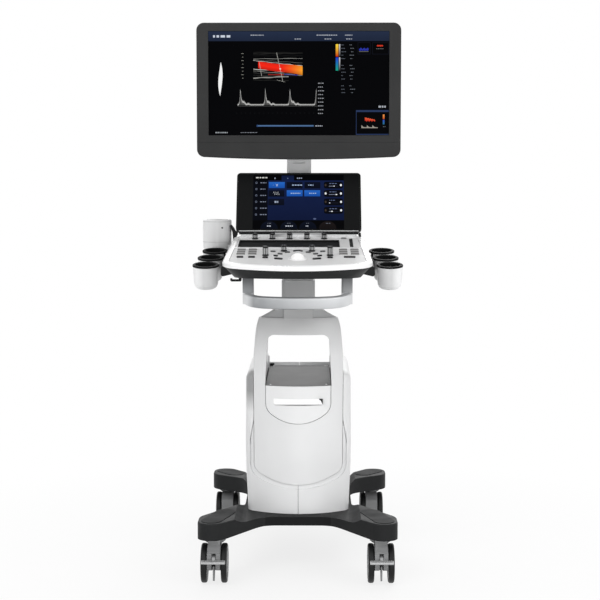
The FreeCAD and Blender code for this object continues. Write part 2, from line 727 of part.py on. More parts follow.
def build_frame():
    """Welded steel frame: foot plate on the base, two uprights in the arms, a bridge under the hood."""
    upright_x = window_half_bottom + shield_wall + seat_gap
    rear_y = frame_front_y + frame_depth
    parts = [bar(-104.0, 104.0, frame_front_y - 12.0, 250.0, deck_top, deck_top + 6.0)]
    for side in (-1, 1):
        low_x = min(side * upright_x, side * (upright_x + frame_plate))
        upright = rounded_wire([(frame_front_y, deck_top, 0.0), (40.0, deck_top, 0.0),
                                (rear_y, shelf_top - 60.0, 80.0),
                                (rear_y, bridge_plate_bottom, 0.0),
                                (frame_front_y, bridge_plate_bottom, 0.0)],
                               "yz", low_x)
        parts.append(slab(upright, Vector(frame_plate, 0, 0)))
        parts.append(bar(low_x, low_x + frame_plate, 190.0, 240.0, deck_top, bay_floor - seat_gap))
    for y in (-40.0, 205.0):
        parts.append(bar(-upright_x - 1.0, upright_x + 1.0, y, y + 20.0, bay_floor - seat_gap - 6.0,
                         bay_floor - seat_gap))
    bridge = rounded_wire([(91.6, frame_front_y + 2.0, 0.0), (91.6, -58.0, 4.0), (72.0, -12.0, 6.0),
                           (-72.0, -12.0, 6.0), (-91.6, -58.0, 4.0), (-91.6, frame_front_y + 2.0, 0.0)],
                          "xy", bridge_plate_bottom)
    parts.append(slab(bridge, Vector(0, 0, bridge_plate_top - bridge_plate_bottom)))
    write("column_frame", fused(parts))


def build_electronics():
    """Sealed unit with the beamformer, the computer and the power supply, standing on the frame's foot."""
    half = window_half_bottom + shield_wall - 1.0
    bottom = deck_top + 6.0
    top = bay_floor - 12.0
    unit = bar(-half, half, -64.0, body_rear - 52.0, bottom, top)
    fins = [bar(-half + 8.0, half - 8.0, body_rear - 52.0, body_rear - 44.0, bottom + 20.0 + 22.0 * row,
                bottom + 32.0 + 22.0 * row) for row in range(6)]
    write("electronics_unit", fused([unit] + fins))


def port_opening(grow, deep):
    """The window of the probe sockets in the right-hand cover."""
    low = port_first_y - port_frame - grow
    high = port_first_y + port_pitch * (port_count - 1) + port_width + port_frame + grow
    return bar(body_half_width - deep, body_half_width + 5.0, low, high,
               port_z - port_height / 2 - port_frame - grow, port_z + port_height / 2 + port_frame + grow)


def build_ports():
    """Row of open sockets for the probe plugs, let into the side of the body."""
    block = port_opening(-0.5, port_depth + 4.0).common(bar(0, body_half_width - 0.5, -300, 400, 0, 700))
    for index in range(port_count):
        low = port_first_y + port_pitch * index
        socket = slab(rounded_wire([
            (low, port_z - port_height / 2, 5.0), (low + port_width, port_z - port_height / 2, 5.0),
            (low + port_width, port_z + port_height / 2, 5.0), (low, port_z + port_height / 2, 5.0)],
            "yz", body_half_width - port_depth), Vector(port_depth + 5.0, 0, 0))
        tongue = bar(body_half_width - port_depth - 1.0, body_half_width - 6.0, low + 13.0,
                     low + port_width - 13.0,
                     port_z - port_height / 2 + 9.0, port_z + port_height / 2 - 9.0)
        block = block.cut(socket).fuse(tongue)
    write("probe_ports", block.removeSplitter())


# Lift ---------------------------------------------------------------------------------------------

def round_box(half_width, half_depth, corner, bottom, top):
    wire = rounded_wire([(half_width, -half_depth, corner), (half_width, half_depth, corner),
                         (-half_width, half_depth, corner), (-half_width, -half_depth, corner)], "xy", bottom)
    return slab(wire, Vector(0, 0, top - bottom)).translated(Vector(0, lift_y, 0))


def build_lift():
    """Neck sleeve on the bridge plate, the mast that slides in it, and the gas spring inside both."""
    inner_width, inner_depth = neck_half_width - neck_wall, neck_half_depth - neck_wall
    sleeve = round_box(neck_half_width, neck_half_depth, 12.0, bridge_plate_top, neck_top)
    _, front, rear, wide, narrow = arch_sections[-1]
    foot = bowed_wire(front, rear, wide, narrow, bow_radius, 12.0, 12.0, hood_top + seat_gap, 3.0)
    shoulder = bowed_wire(lift_y - neck_half_depth - 3.0, lift_y + neck_half_depth + 3.0,
                          collar_half_width, collar_half_width - 0.01, bow_radius, 12.0, 12.0, collar_top)
    collar = Part.makeLoft([foot, shoulder], True, True)
    collar = collar.cut(bar(-tongue_half - seat_gap, tongue_half + seat_gap, front - 10.0,
                            lift_y - neck_half_depth, hood_top, collar_top + 1.0))
    sleeve = sleeve.fuse(collar)
    sleeve = sleeve.cut(round_box(inner_width, inner_depth, 7.0, bridge_plate_top - 1.0, neck_top + 1.0))
    write("lift_neck", largest(sleeve.removeSplitter()))
    mast_width, mast_depth = inner_width - slide_gap, inner_depth - slide_gap
    mast_top = console_bottom - seat_gap
    mast_bottom = bridge_plate_top + 10.0
    mast = round_box(mast_width, mast_depth, 6.9, mast_bottom, mast_top)
    mast = mast.cut(round_box(mast_width - 4.0, mast_depth - 4.0, 3.0, mast_bottom - 1.0, mast_top - 6.0))
    mast = mast.fuse(disc(swivel_radius, swivel_height, Vector(0, lift_y, mast_top)))
    write("lift_mast", mast)
    base = bridge_plate_top
    gas_top = base + 92.0
    at = Vector(0, lift_y, 0)
    bore, guide = gas_radius - gas_wall, gas_rod_radius + running_gap
    tube = turned([(0.0, base), (gas_radius, base), (gas_radius, gas_top), (guide, gas_top),
                   (guide, gas_top - 5.0), (bore, gas_top - 5.0), (bore, base + 4.0), (0.0, base + 4.0)], at)
    write("gas_spring_cylinder", tube)
    piston = bore - running_gap
    rod = turned([(0.0, base + 8.0), (piston, base + 8.0), (piston, base + 14.0),
                  (gas_rod_radius, base + 14.0), (gas_rod_radius, mast_top - 6.0), (0.0, mast_top - 6.0)], at)
    write("gas_spring_rod", rod)


# Console ------------------------------------------------------------------------------------------

def on_console(shape):
    """From the deck's own frame (rear edge at Y = 0, deck surface at Z = 0) to its place on the cart."""
    moved = shape.copy()
    moved.rotate(Vector(0, 0, 0), Vector(1, 0, 0), console_tilt)
    return moved.translated(Vector(0, console_rear_y, console_rear_z))


def console_wire(inset, level):
    return bowed_wire(-console_length, 0.0, console_half_front, console_half_rear, console_bow,
                      console_corner, console_rear_corner, level, inset)


def deck_parts(gap, low, high):
    """The two fields of the deck, in front of and behind the ridge."""
    field = slab(console_wire(deck_margin + gap, low), Vector(0, 0, high - low))
    front = field.common(bar(-300, 300, -500, ridge_y - ridge_width / 2 - gap, low, high))
    rear = field.common(bar(-300, 300, ridge_y + ridge_width / 2 + gap, 50, low, high))
    return front, rear


def build_upper_shell():
    """White top cover: rounded rim, a ridge across, and a stepped opening for each deck plate."""
    shell = slab(console_wire(0.0, -rim_height), Vector(0, 0, rim_height))
    top_edges = [edge for edge in shell.Edges if all(abs(v.Point.z) < 0.01 for v in edge.Vertexes)]
    shell = shell.makeFillet(rim_round, top_edges)
    shell = shell.cut(slab(console_wire(4.0, -rim_height - 1.0), Vector(0, 0, rim_height + 1.0 - top_plate)))
    for field in deck_parts(0.0, -deck_sink - deck_plate, 1.0):
        shell = shell.cut(field)
    for field in deck_parts(deck_ledge, -rim_height, 0.0):
        shell = shell.cut(field)
    notches = [key_slab(key, 2 * key_gap, -rim_height, -deck_sink) for key in key_shapes()]
    notches.append(bar(tray_left, tray_right, tray_front, tray_rear, -rim_height, -deck_sink))
    write("console_upper_shell", on_console(shell.cut(Part.makeCompound(notches))))


def key_shapes():
    """Outlines of every key as (group, x, y, angle, width, depth, round ends)."""
    keys = []
    for side, group in ((-1, "keys_left"), (1, "keys_right")):
        for column in key_columns:
            for row in key_rows:
                keys.append((group, side * column, row, 0.0, key_width, key_depth, False))
            if side < 0:
                keys.append((group, side * column, wide_key_row, 0.0, key_width - 4.0, key_depth + 2.0,
                             False))
        if side > 0:
            middle = sum(key_columns) / 2
            keys.append((group, middle, wide_key_row, 0.0, key_width + 8.0, key_depth + 2.0, False))
        keys.append((group, side * tall_knob_place[0], wide_key_row - 6.0, 0.0, arc_key_width, key_depth,
                     False))
    for side, group in ((-1, "arc_keys_left"), (1, "arc_keys_right")):
        for x, y, angle in arc_key_places:
            keys.append((group, side * x, y, side * angle, arc_key_width, arc_key_depth, True))
        x, y, angle = oval_key_place
        keys.append((group, side * x, y, side * angle, oval_key_width, oval_key_depth, True))
    x, y = power_key_place
    keys.append(("power_key", x, y, 0.0, 14.0, 9.0, True))
    return keys


def key_slab(key, grow, low, high):
    _, x, y, angle, width, depth, round_ends = key
    half, deep = width / 2 + grow, depth / 2 + grow
    corner = deep - 0.01 if round_ends else 1.6 + grow
    wire = rounded_wire([(half, -deep, corner), (half, deep, corner), (-half, deep, corner),
                         (-half, -deep, corner)], "xy", low)
    shape = slab(wire, Vector(0, 0, high - low))
    shape.rotate(Vector(0, 0, 0), Vector(0, 0, 1), angle)
    return shape.translated(Vector(x, y, 0))


def knob_places():
    """Name, x, y and height of each encoder knob."""
    places = [("knob_rear_" + str(index + 1), rear_knob_first + rear_knob_pitch * index, rear_knob_row,
               rear_knob_height) for index in range(5)]
    for side, word in ((-1, "left"), (1, "right")):
        places.append(("knob_tall_" + word, side * tall_knob_place[0], tall_knob_place[1], tall_knob_height))
        places.append(("knob_short_" + word, side * short_knob_place[0], short_knob_place[1],
                       short_knob_height))
    return places


def build_deck():
    """Grey deck plates with a hole for each control, and the keys and knobs that stand in them."""
    bottom, top = -deck_sink - deck_plate, -deck_sink
    plates = list(deck_parts(seat_gap, bottom, top))
    holes = [key_slab(key, key_gap, bottom - 1.0, top + 1.0) for key in key_shapes()]
    holes += [disc(knob_shaft + running_gap, deck_plate + 2.0, Vector(x, y, bottom - 1.0))
              for _, x, y, _ in knob_places()]
    holes.append(disc(ring_radius - 2.0 + seat_gap, deck_plate + 2.0, Vector(0, ball_y, bottom - 1.0)))
    holes.append(bar(tray_left, tray_right, tray_front, tray_rear, bottom - 1.0, top + 1.0))
    holes.append(bar(strip_x - strip_width / 2, strip_x + strip_width / 2, tray_front, -24.0, bottom - 1.0,
                     top + 1.0))
    write("key_deck", [on_console(plate.cut(Part.makeCompound(holes))) for plate in plates])
    groups = {}
    for key in key_shapes():
        solid = key_slab(key, 0.0, bottom - 4.0, top + key_rise)
        groups.setdefault(key[0], []).append(on_console(solid))
    for name, solids in groups.items():
        write(name, solids)
    for name, x, y, height in knob_places():
        write(name, on_console(knob(height).translated(Vector(x, y, top))))


def knob(height):
    """Turned encoder knob: shaft, skirt, waist and a slightly wider head with a broken edge."""
    waist = knob_radius - 0.7
    return turned([(0.0, -deck_plate - 3.0), (knob_shaft, -deck_plate - 3.0), (knob_shaft, seat_gap),
                   (knob_radius + 1.0, seat_gap), (knob_radius + 1.0, 2.0), (waist, 3.4),
                   (waist, height - 4.0),
                   (knob_radius, height - 3.0), (knob_radius, height - 0.9), (knob_radius - 1.0, height),
                   (0.0, height)], Vector(0, 0, 0))


def build_tray():
    """Shallow black tray and the narrow black strip beside it, both hung in the rear deck."""
    top = -deck_sink - 0.2
    floor = top - tray_drop - 2.0
    tray = bar(tray_left + seat_gap, tray_right - seat_gap, tray_front + seat_gap, tray_rear - seat_gap,
               floor, top)
    tray = tray.makeFillet(3.0, [edge for edge in tray.Edges if edge.Length < tray_drop + 2.5])
    tray = tray.cut(bar(tray_left + 3.0, tray_right - 3.0, tray_front + 3.0, tray_rear - 3.0, floor + 2.0,
                        top + 1.0))
    strip = bar(strip_x - strip_width / 2 + seat_gap, strip_x + strip_width / 2 - seat_gap,
                tray_front + seat_gap, -24.0 - seat_gap, -deck_sink - deck_plate, top - 0.6)
    write("inset_tray", [on_console(tray), on_console(strip)])


def build_trackball():
    """Ball in a cup that hangs from its ring; the dial arc lies behind it on the deck."""
    top = -deck_sink
    centre_z = top - ball_sink
    ring_top = top + 2.5
    mouth = math.sqrt(ball_radius ** 2 - (top - 0.5 - centre_z) ** 2) + seat_gap
    lip = math.sqrt(ball_radius ** 2 - (ring_top - centre_z) ** 2) + seat_gap
    cup = ball_radius + 0.6
    floor = centre_z - ball_radius - seat_gap
    wall = ring_radius - 2.0
    ring = turned([(mouth, top - 0.5), (lip, ring_top), (ring_radius - 1.0, ring_top),
                   (ring_radius, top), (wall, top), (wall, floor - 2.5), (0.0, floor - 2.5),
                   (0.0, floor), (4.0, floor),
                   (5.0, floor - 0.8), (cup, floor - 0.8), (cup, centre_z + 1.0)], Vector(0, ball_y, 0))
    outer, inner = dial_radius, dial_radius - dial_width
    dial = disc(outer, 2.4, Vector(0, dial_y - 5.0, top))
    dial = dial.cut(disc(inner, 5.0, Vector(0, dial_y - 5.0, top - 1.0)))
    dial = dial.common(bar(-30, 30, dial_y - 5.0, dial_y + 30, -20, 20))
    write("trackball_ring", [on_console(ring), on_console(dial)])
    ball = Part.makeSphere(ball_radius, Vector(0, ball_y, centre_z))
    write("trackball", on_console(ball))


def lower_shell_solid(inset, floor, rise):
    """Wedge between the tilted rim and a level floor: its walls are drafted inwards."""
    top = on_console(console_wire(shell_inset + inset, -rim_height + rise))
    reach = console_length * math.cos(math.radians(console_tilt))
    low = bowed_wire(console_rear_y - reach, console_rear_y, console_half_front, console_half_rear,
                     console_bow,
                     console_corner + 40.0, console_rear_corner + 12.0, console_bottom + floor,
                     shell_draft + inset)
    return Part.makeLoft([low, top], True, True)


def build_lower_shell():
    """Black tray under the console with the swivel socket, the holder arms and the rear bracket."""
    shell = lower_shell_solid(0.0, 0.0, 0.0)
    shell = shell.cut(lower_shell_solid(shell_wall, shell_wall, 0.2))
    boss = disc(swivel_radius + 8.0, swivel_height + 4.0, Vector(0, lift_y, console_bottom))
    bore = disc(swivel_radius + running_gap, swivel_height + 1.0, Vector(0, lift_y, console_bottom - 1.0))
    block = slab(rounded_wire([(-30.0, block_bottom - 10.0, 0.0), (-30.0, 830.0, 0.0), (4.5, 832.0, 0.0),
                               (4.5, block_top, 2.0), (block_rear, block_top, 3.0),
                               (block_rear, block_top - 22.0, 6.0),
                               (50.0, block_bottom - 10.0, 20.0)], "yz", -block_half_width),
                 Vector(2 * block_half_width, 0, 0))
    plan = rounded_wire([(block_half_width, -40.0, 0.0), (block_half_width, block_rear, 30.0),
                         (-block_half_width, block_rear, 30.0), (-block_half_width, -40.0, 0.0)], "xy", 700.0)
    block = block.common(slab(plan, Vector(0, 0, 300.0)))
    post_bore = disc(12.0 + running_gap, 20.0, Vector(0, post_y, block_top - 18.0))
    trough = disc(barrel_radius + seat_gap, 2 * barrel_half_length,
                  Vector(-barrel_half_length, barrel_y, barrel_z),
                  Vector(1, 0, 0))
    arms = [holder_arm(side) for side in (-1, 1)]
    shell = fused([shell, boss, block] + arms)
    shell = shell.cut(bore).cut(post_bore).cut(trough)
    write("console_lower_shell", shell)


def cup_places(side):
    return [(side * (cup_first_x - cup_step_x * index),
             cup_first_y + cup_pitch * index) for index in range(3)]


def holder_arm(side):
    """Dark sloping bracket from the tray's side wall to the row of cups."""
    x_out = cup_first_x - cup_radius + 1.0
    inner = console_half_rear - 20.0
    points = [(side * inner, -48.0, 0.0), (side * inner, -24.0, 0.0),
              (side * (x_out - 6.0), -cup_drop - 8.0, 4.0),
              (side * (x_out - 4.0), -cup_drop - 34.0, 6.0)]
    arm = slab(rounded_wire(points, "xz", cup_first_y + 8.0), Vector(0, 2 * cup_pitch - 40.0, 0))
    arm = on_console(arm)
    return arm.cut(lower_shell_solid(shell_wall - 0.5, shell_wall, 0.2))


def build_holders():
    """Three cups in a row on each side; each has a rubber liner with a broad rim."""
    top = -cup_drop - liner_rim
    bottom = -cup_drop - cup_height
    liners = []
    for side, word in ((-1, "left"), (1, "right")):
        body = None
        cavities = []
        for x, y in cup_places(side):
            cup = turned([(0.0, bottom), (cup_foot_radius - 17.0, bottom),
                          (cup_foot_radius - 9.0, bottom + 1.8), (cup_foot_radius - 4.0, bottom + 5.5),
                          (cup_foot_radius - 1.2, bottom + 10.5), (cup_foot_radius, bottom + 17.0),
                          (cup_radius, top), (0.0, top)], Vector(x, y, 0))
            bore = cup_radius - cup_wall
            cavities.append(turned([(0.0, bottom + 3.5), (cup_foot_radius - 18.0, bottom + 3.5),
                                    (cup_foot_radius - 11.0, bottom + 5.2),
                                    (cup_foot_radius - 7.0, bottom + 8.5),
                                    (cup_foot_radius - 4.6, bottom + 13.5),
                                    (bore, top - liner_depth), (bore, top + 1.0), (0.0, top + 1.0)],
                                   Vector(x, y, 0)))
            body = cup if body is None else body.fuse(cup)
            bore = bore - seat_gap
            inside, rim = bore - liner_wall, top + liner_rim
            liners.append(on_console(turned([
                (inside, top - liner_depth), (bore, top - liner_depth), (bore, top),
                (cup_radius + 0.8, top), (cup_radius + 0.8, rim - 1.0), (cup_radius - 0.6, rim),
                (inside + 1.5, rim), (inside, rim - 1.5)], Vector(x, y, 0))))
        (x0, y0), (x2, y2) = cup_places(side)[0], cup_places(side)[2]
        web = slab(Part.makePolygon([Vector(x0 - side * 26.0, y0, top - 32.0),
                                     Vector(x0 - side * 8.0, y0, top - 32.0),
                                     Vector(x2 - side * 8.0, y2, top - 32.0),
                                     Vector(x2 - side * 26.0, y2, top - 32.0),
                                     Vector(x0 - side * 26.0, y0, top - 32.0)]), Vector(0, 0, 26.0))
        body = body.fuse(web).cut(Part.makeCompound(cavities)).removeSplitter()
        placed = on_console(body).cut(holder_arm_block(side))
        write("holder_" + word + "_shell", largest(placed))
    write("holder_liners", liners)


def holder_arm_block(side):
    """Space of the bracket's outer end, cut from the cups so that they seat against it."""
    x_out = cup_first_x - cup_radius + 1.0
    low, high = min(0.0, side * (x_out - 3.7)), max(0.0, side * (x_out - 3.7))
    block = bar(low, high, -400.0, 50.0, -120.0, 0.0)
    return on_console(block)


def build_handle():
    """Bowed grip bar under the front of the console, carried by two broad legs."""
    low = -handle_top - handle_height
    outer = bowed_wire(-handle_reach, -handle_back, handle_half_width, handle_half_width - 0.01, console_bow,
                       handle_corner, 2.0, low)
    inner = bowed_wire(-handle_reach, -handle_back, handle_half_width, handle_half_width - 0.01, console_bow,
                       handle_corner, 2.0, low - 1.0, handle_thickness)
    loop = slab(outer, Vector(0, 0, handle_height))
    rims = [edge for edge in loop.Edges if abs(edge.Vertexes[0].Point.z - edge.Vertexes[-1].Point.z) < 0.01
            and edge.CenterOfMass.y < -handle_back - 2.0]
    loop = loop.makeFillet(4.0, rims)
    loop = loop.cut(slab(inner, Vector(0, 0, handle_height + 2.0)))
    inside = handle_half_width - handle_thickness
    loop = loop.cut(bar(-inside, inside, -handle_back - handle_thickness - 1.0, 0.0, low - 1.0, low + 60.0))
    parts = [loop]
    for side in (-1, 1):
        x0, x1 = sorted((side * handle_half_width, side * (handle_half_width - leg_width)))
        leg = slab(rounded_wire([(x0, -handle_back - leg_depth, 5.0), (x1, -handle_back - leg_depth, 5.0),
                                 (x1, -handle_back, 5.0), (x0, -handle_back, 5.0)], "xy", low),
                   Vector(0, 0, 90.0))
        parts.append(leg)
    handle = on_console(fused(parts))
    write("handle", handle.cut(bar(-300, 300, -500, 200, console_bottom, console_bottom + 200)))


def build_hook():
    """Black hook for cables under the left edge of the console."""
    x, z = -154.0, console_bottom
    hook = rounded_wire([(x - 13.0, z - 7.0, 0.5), (x - 13.0, z - 14.5, 4.0), (x + 15.0, z - 14.5, 4.0),
                         (x + 15.0, z, 0.5), (x + 8.0, z, 0.5), (x + 8.0, z - 9.5, 1.0),
                         (x - 8.5, z - 9.5, 1.0),
                         (x - 8.5, z - 7.0, 0.5)], "xz", lift_y - 180.0)
    write("cable_hook", slab(hook, Vector(0, 13.0, 0)))


def build_warmer():
    """Heated gel cup on a short arm at the left rear of the console."""
    at = Vector(warmer_x, warmer_y, 0)
    cup = turned([(0.0, warmer_bottom), (warmer_radius - 6.0, warmer_bottom),
                  (warmer_radius - 1.0, warmer_bottom + 5.0),
                  (warmer_radius, warmer_bottom + 12.0), (warmer_radius, warmer_top - 3.0),
                  (warmer_radius - 2.0, warmer_top), (warmer_bore + 2.0, warmer_top),
                  (warmer_bore, warmer_top - 4.0),
                  (warmer_bore, warmer_bottom + 12.0), (0.0, warmer_bottom + 12.0)], at)
    arm = bar(warmer_x + warmer_radius - 8.0, -console_half_rear + 30.0, warmer_y - 36.0, warmer_y - 12.0,
              warmer_bottom, warmer_bottom + 15.0)
    arm = arm.cut(disc(warmer_radius - 3.0, 90.0, Vector(warmer_x, warmer_y, warmer_bottom - 5.0)))
    arm = arm.cut(lower_shell_solid(-0.05, -0.05, 0.0))
    write("gel_warmer", largest(cup.fuse(arm).removeSplitter()))


# Touch panel --------------------------------------------------------------------------------------

def on_touch(shape):
    """From an upright panel (front face at Y = 0, lower edge at Z = 0) to its leaning place."""
    moved = shape.copy()
    moved.rotate(Vector(0, 0, 0), Vector(1, 0, 0), -touch_tilt)
    return moved.translated(Vector(0, touch_edge_y, touch_edge_z))


def panel_corners(inset, corner):
    half = touch_half_width - inset
    return [(half, inset, corner), (half, touch_length - inset, corner),
            (-half, touch_length - inset, corner), (-half, inset, corner)]


def build_touch():
    """Housing with a drafted back and two hinge ears, the glass let into its front, the hinge under it."""
    straight = slab(rounded_wire(panel_corners(0.0, touch_corner), "xz", 0.0), Vector(0, 9.0, 0))
    back = Part.makeLoft([rounded_wire(panel_corners(0.0, touch_corner), "xz", 9.0),
                          rounded_wire(panel_corners(12.0, touch_corner), "xz", touch_thickness)], True, True)
    body = straight.fuse(back)
    body = body.cut(slab(rounded_wire(panel_corners(touch_glass_inset, 6.0), "xz", -1.0),
                         Vector(0, 1.0 + glass, 0)))
    body = on_touch(body.removeSplitter())
    pane = slab(rounded_wire(panel_corners(touch_glass_inset + 0.2, 6.0), "xz", 0.2),
                Vector(0, glass - 0.2, 0))
    write("touch_glass", on_touch(pane))
    ear_radius = barrel_radius - 0.5
    for side in (-1, 1):
        low_x = min(side * (barrel_half_length + seat_gap),
                    side * (barrel_half_length + seat_gap + hinge_ear))
        eye = disc(ear_radius, hinge_ear, Vector(low_x, barrel_y, barrel_z), Vector(1, 0, 0))
        web = slab(rounded_wire([(barrel_y - ear_radius + 1.0, barrel_z, 0.0),
                                 (barrel_y + ear_radius, barrel_z, 0.0),
                                 (barrel_y + 14.0, barrel_z + 12.0, 0.0),
                                 (barrel_y + 2.0, barrel_z + 14.0, 0.0)],
                                "yz", low_x), Vector(hinge_ear, 0, 0))
        body = body.fuse(eye).fuse(web)
    pin_bore = disc(hinge_pin + running_gap, 400.0, Vector(-200.0, barrel_y, barrel_z), Vector(1, 0, 0))
    inner_room = disc(barrel_radius + seat_gap, 2 * barrel_half_length + 2 * seat_gap,
                      Vector(-barrel_half_length - seat_gap, barrel_y, barrel_z), Vector(1, 0, 0))
    body = body.cut(inner_room).cut(pin_bore).cut(on_touch(slab(rounded_wire(
        panel_corners(touch_glass_inset, 6.0), "xz", -1.0), Vector(0, 1.0 + glass, 0))))
    write("touch_housing", largest(body.removeSplitter()))
    length = 2 * barrel_half_length
    barrel = disc(barrel_radius, length, Vector(-barrel_half_length, barrel_y, barrel_z), Vector(1, 0, 0))
    foot = bar(-block_half_width + 4.0, block_half_width - 4.0, barrel_y - 15.0, barrel_y + 14.0,
               block_top + seat_gap, block_top + seat_gap + 2.0)
    pin = disc(hinge_pin, length + 2 * hinge_ear, Vector(-barrel_half_length - hinge_ear, barrel_y, barrel_z),
               Vector(1, 0, 0))
    write("touch_hinge", fused([barrel, foot, pin]))


# Monitor ------------------------------------------------------------------------------------------

def monitor_wire(inset, level):
    """Front view of the monitor, its lower edge bowed downwards, at a depth."""
    low = monitor_corner_z - monitor_sag
    half = monitor_half_width
    bow = (half ** 2 + monitor_sag ** 2) / (2 * monitor_sag)
    corner = monitor_corner + inset
    wire = bowed_wire(low, monitor_top, half, half - 0.01, bow, corner, corner, 0.0, inset)
    wire.rotate(Vector(0, 0, 0), Vector(1, 0, 0), 90)
    return wire.translated(Vector(0, level, 0))


def build_monitor():
    """Front bezel, screen module, drafted back shell with its boss, and the bracket with the tilt knuckle."""
    joint_y = monitor_front_y + bezel_depth
    bezel = slab(monitor_wire(0.0, monitor_front_y), Vector(0, bezel_depth, 0))
    front_edges = [edge for edge in bezel.Edges
                   if all(abs(v.Point.y - monitor_front_y) < 0.01 for v in edge.Vertexes)]
    bezel = bezel.makeFillet(3.5, front_edges)
    opening = rounded_wire([(screen_half_width, screen_bottom, 0.8), (screen_half_width, screen_top, 0.8),
                            (-screen_half_width, screen_top, 0.8), (-screen_half_width, screen_bottom, 0.8)],
                           "xz", monitor_front_y - 1.0)
    bezel = bezel.cut(slab(opening, Vector(0, bezel_depth + 2.0, 0)))
    write("monitor_bezel", bezel)
    write("monitor_screen", bar(-screen_half_width + 0.3, screen_half_width - 0.3, screen_y, joint_y - 0.5,
                                screen_bottom + 0.3, screen_top - 0.3))
    back_y = joint_y + back_depth
    shell = Part.makeLoft([monitor_wire(1.0, joint_y), monitor_wire(back_inset, back_y)], True, True)
    inner = Part.makeLoft([monitor_wire(4.0, joint_y - 0.1), monitor_wire(back_inset + 3.0, back_y - 3.0)],
                          True, True)
    boss_z = (monitor_top + monitor_corner_z) / 2 - 20.0
    boss = slab(rounded_wire([(boss_half_width, boss_z - boss_half_height, 14.0),
                              (boss_half_width, boss_z + boss_half_height, 14.0),
                              (-boss_half_width, boss_z + boss_half_height, 14.0),
                              (-boss_half_width, boss_z - boss_half_height, 14.0)], "xz", back_y - 2.0),
                Vector(0, boss_depth, 0))
    shell = shell.cut(inner).fuse(boss)
    for row in range(6):
        z = monitor_top - 62.0 - 9.0 * row
        for side in (-1, 1):
            shell = shell.cut(bar(side * 130.0 - 60.0, side * 130.0 + 60.0, back_y - 6.0, back_y + 5.0, z,
                                  z + 4.0))
    write("monitor_back", largest(shell.removeSplitter()))
    plate_y = back_y - 2.0 + boss_depth
    plate = slab(rounded_wire([(58.0, boss_z - 58.0, 8.0), (58.0, boss_z + 58.0, 8.0),
                               (-58.0, boss_z + 58.0, 8.0),
                               (-58.0, boss_z - 58.0, 8.0)], "xz", plate_y), Vector(0, 6.0, 0))
    arm = slab(rounded_wire([(plate_y + 5.0, boss_z - 50.0, 0.0), (plate_y + 5.0, boss_z + 40.0, 0.0),
                             (plate_y + 20.0, boss_z + 20.0, 10.0), (tilt_y + 12.0, tilt_z + 24.0, 20.0),
                             (tilt_y + 12.0, tilt_z, 0.0), (tilt_y - 12.0, tilt_z, 0.0),
                             (tilt_y - 16.0, tilt_z + 24.0, 20.0)], "yz", -knuckle_half),
               Vector(2 * knuckle_half, 0, 0))
    along = Vector(1, 0, 0)
    knuckle = disc(tilt_barrel_radius - 1.0, 2 * knuckle_half, Vector(-knuckle_half, tilt_y, tilt_z), along)
    pin = disc(tilt_pin, 2 * post_half_width, Vector(-post_half_width, tilt_y, tilt_z), along)
    write("monitor_bracket", fused([plate, arm, knuckle, pin]))


def build_post():
    """Leaning post behind the touch panel: swivel foot, flat neck, and two ears for the tilt pin."""
    along = Vector(1, 0, 0)
    foot_z = block_top + seat_gap
    foot = disc(post_base_radius, post_base_height, Vector(0, post_y, foot_z))
    spigot = disc(12.0, 17.0 + seat_gap, Vector(0, post_y, block_top - 17.0))
    neck = slab(rounded_wire([
        (post_y - 26.0, foot_z + 2.0, 0.0), (post_y - 26.0, foot_z + 14.0, 14.0),
        (tilt_y - tilt_barrel_radius, post_knee_z, 40.0), (tilt_y - tilt_barrel_radius, tilt_z, 0.0),
        (tilt_y + tilt_barrel_radius, tilt_z, 0.0),
        (tilt_y + tilt_barrel_radius - 2.0, post_knee_z + 10.0, 50.0),
        (post_y + 26.0, foot_z + 14.0, 14.0), (post_y + 26.0, foot_z + 2.0, 0.0)],
        "yz", -post_half_width), Vector(2 * post_half_width, 0, 0))
    waist = rounded_wire([(-22.0, foot_z - 5.0, 0.0), (-22.0, 975.0, 60.0), (-post_half_width, 1016.0, 60.0),
                          (-post_half_width, 1100.0, 0.0), (post_half_width, 1100.0, 0.0),
                          (post_half_width, 1016.0, 60.0), (22.0, 975.0, 60.0), (22.0, foot_z - 5.0, 0.0)],
                         "xz", 0.0)
    neck = neck.common(slab(waist, Vector(0, 300.0, 0)))
    eyes = disc(tilt_barrel_radius, 2 * post_half_width, Vector(-post_half_width, tilt_y, tilt_z), along)
    post = fused([foot, spigot, neck, eyes])
    room = disc(tilt_barrel_radius + 1.5, 2 * knuckle_half + 2 * seat_gap,
                Vector(-knuckle_half - seat_gap, tilt_y, tilt_z), along)
    pin_bore = disc(tilt_pin + running_gap, 4 * post_half_width,
                    Vector(-2 * post_half_width, tilt_y, tilt_z), along)
    write("monitor_post", largest(post.cut(room).cut(pin_bore)))


build_casters()
build_base()
build_frame()
build_shield()
build_side_covers()
build_rear_cover()
build_inlet()
build_pocket_and_shelf()
build_electronics()
build_ports()
build_lift()
build_upper_shell()
build_deck()
build_tray()
build_trackball()
build_lower_shell()
build_holders()
build_handle()
build_hook()
build_warmer()
build_touch()
build_monitor()
build_post()
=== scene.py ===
# Ultrasound scanner on a wheeled cart: camera, light, finishes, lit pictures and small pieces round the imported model.
# Metres, +Z up, the operator stands at -Y and +X is to the right.
import json
import math

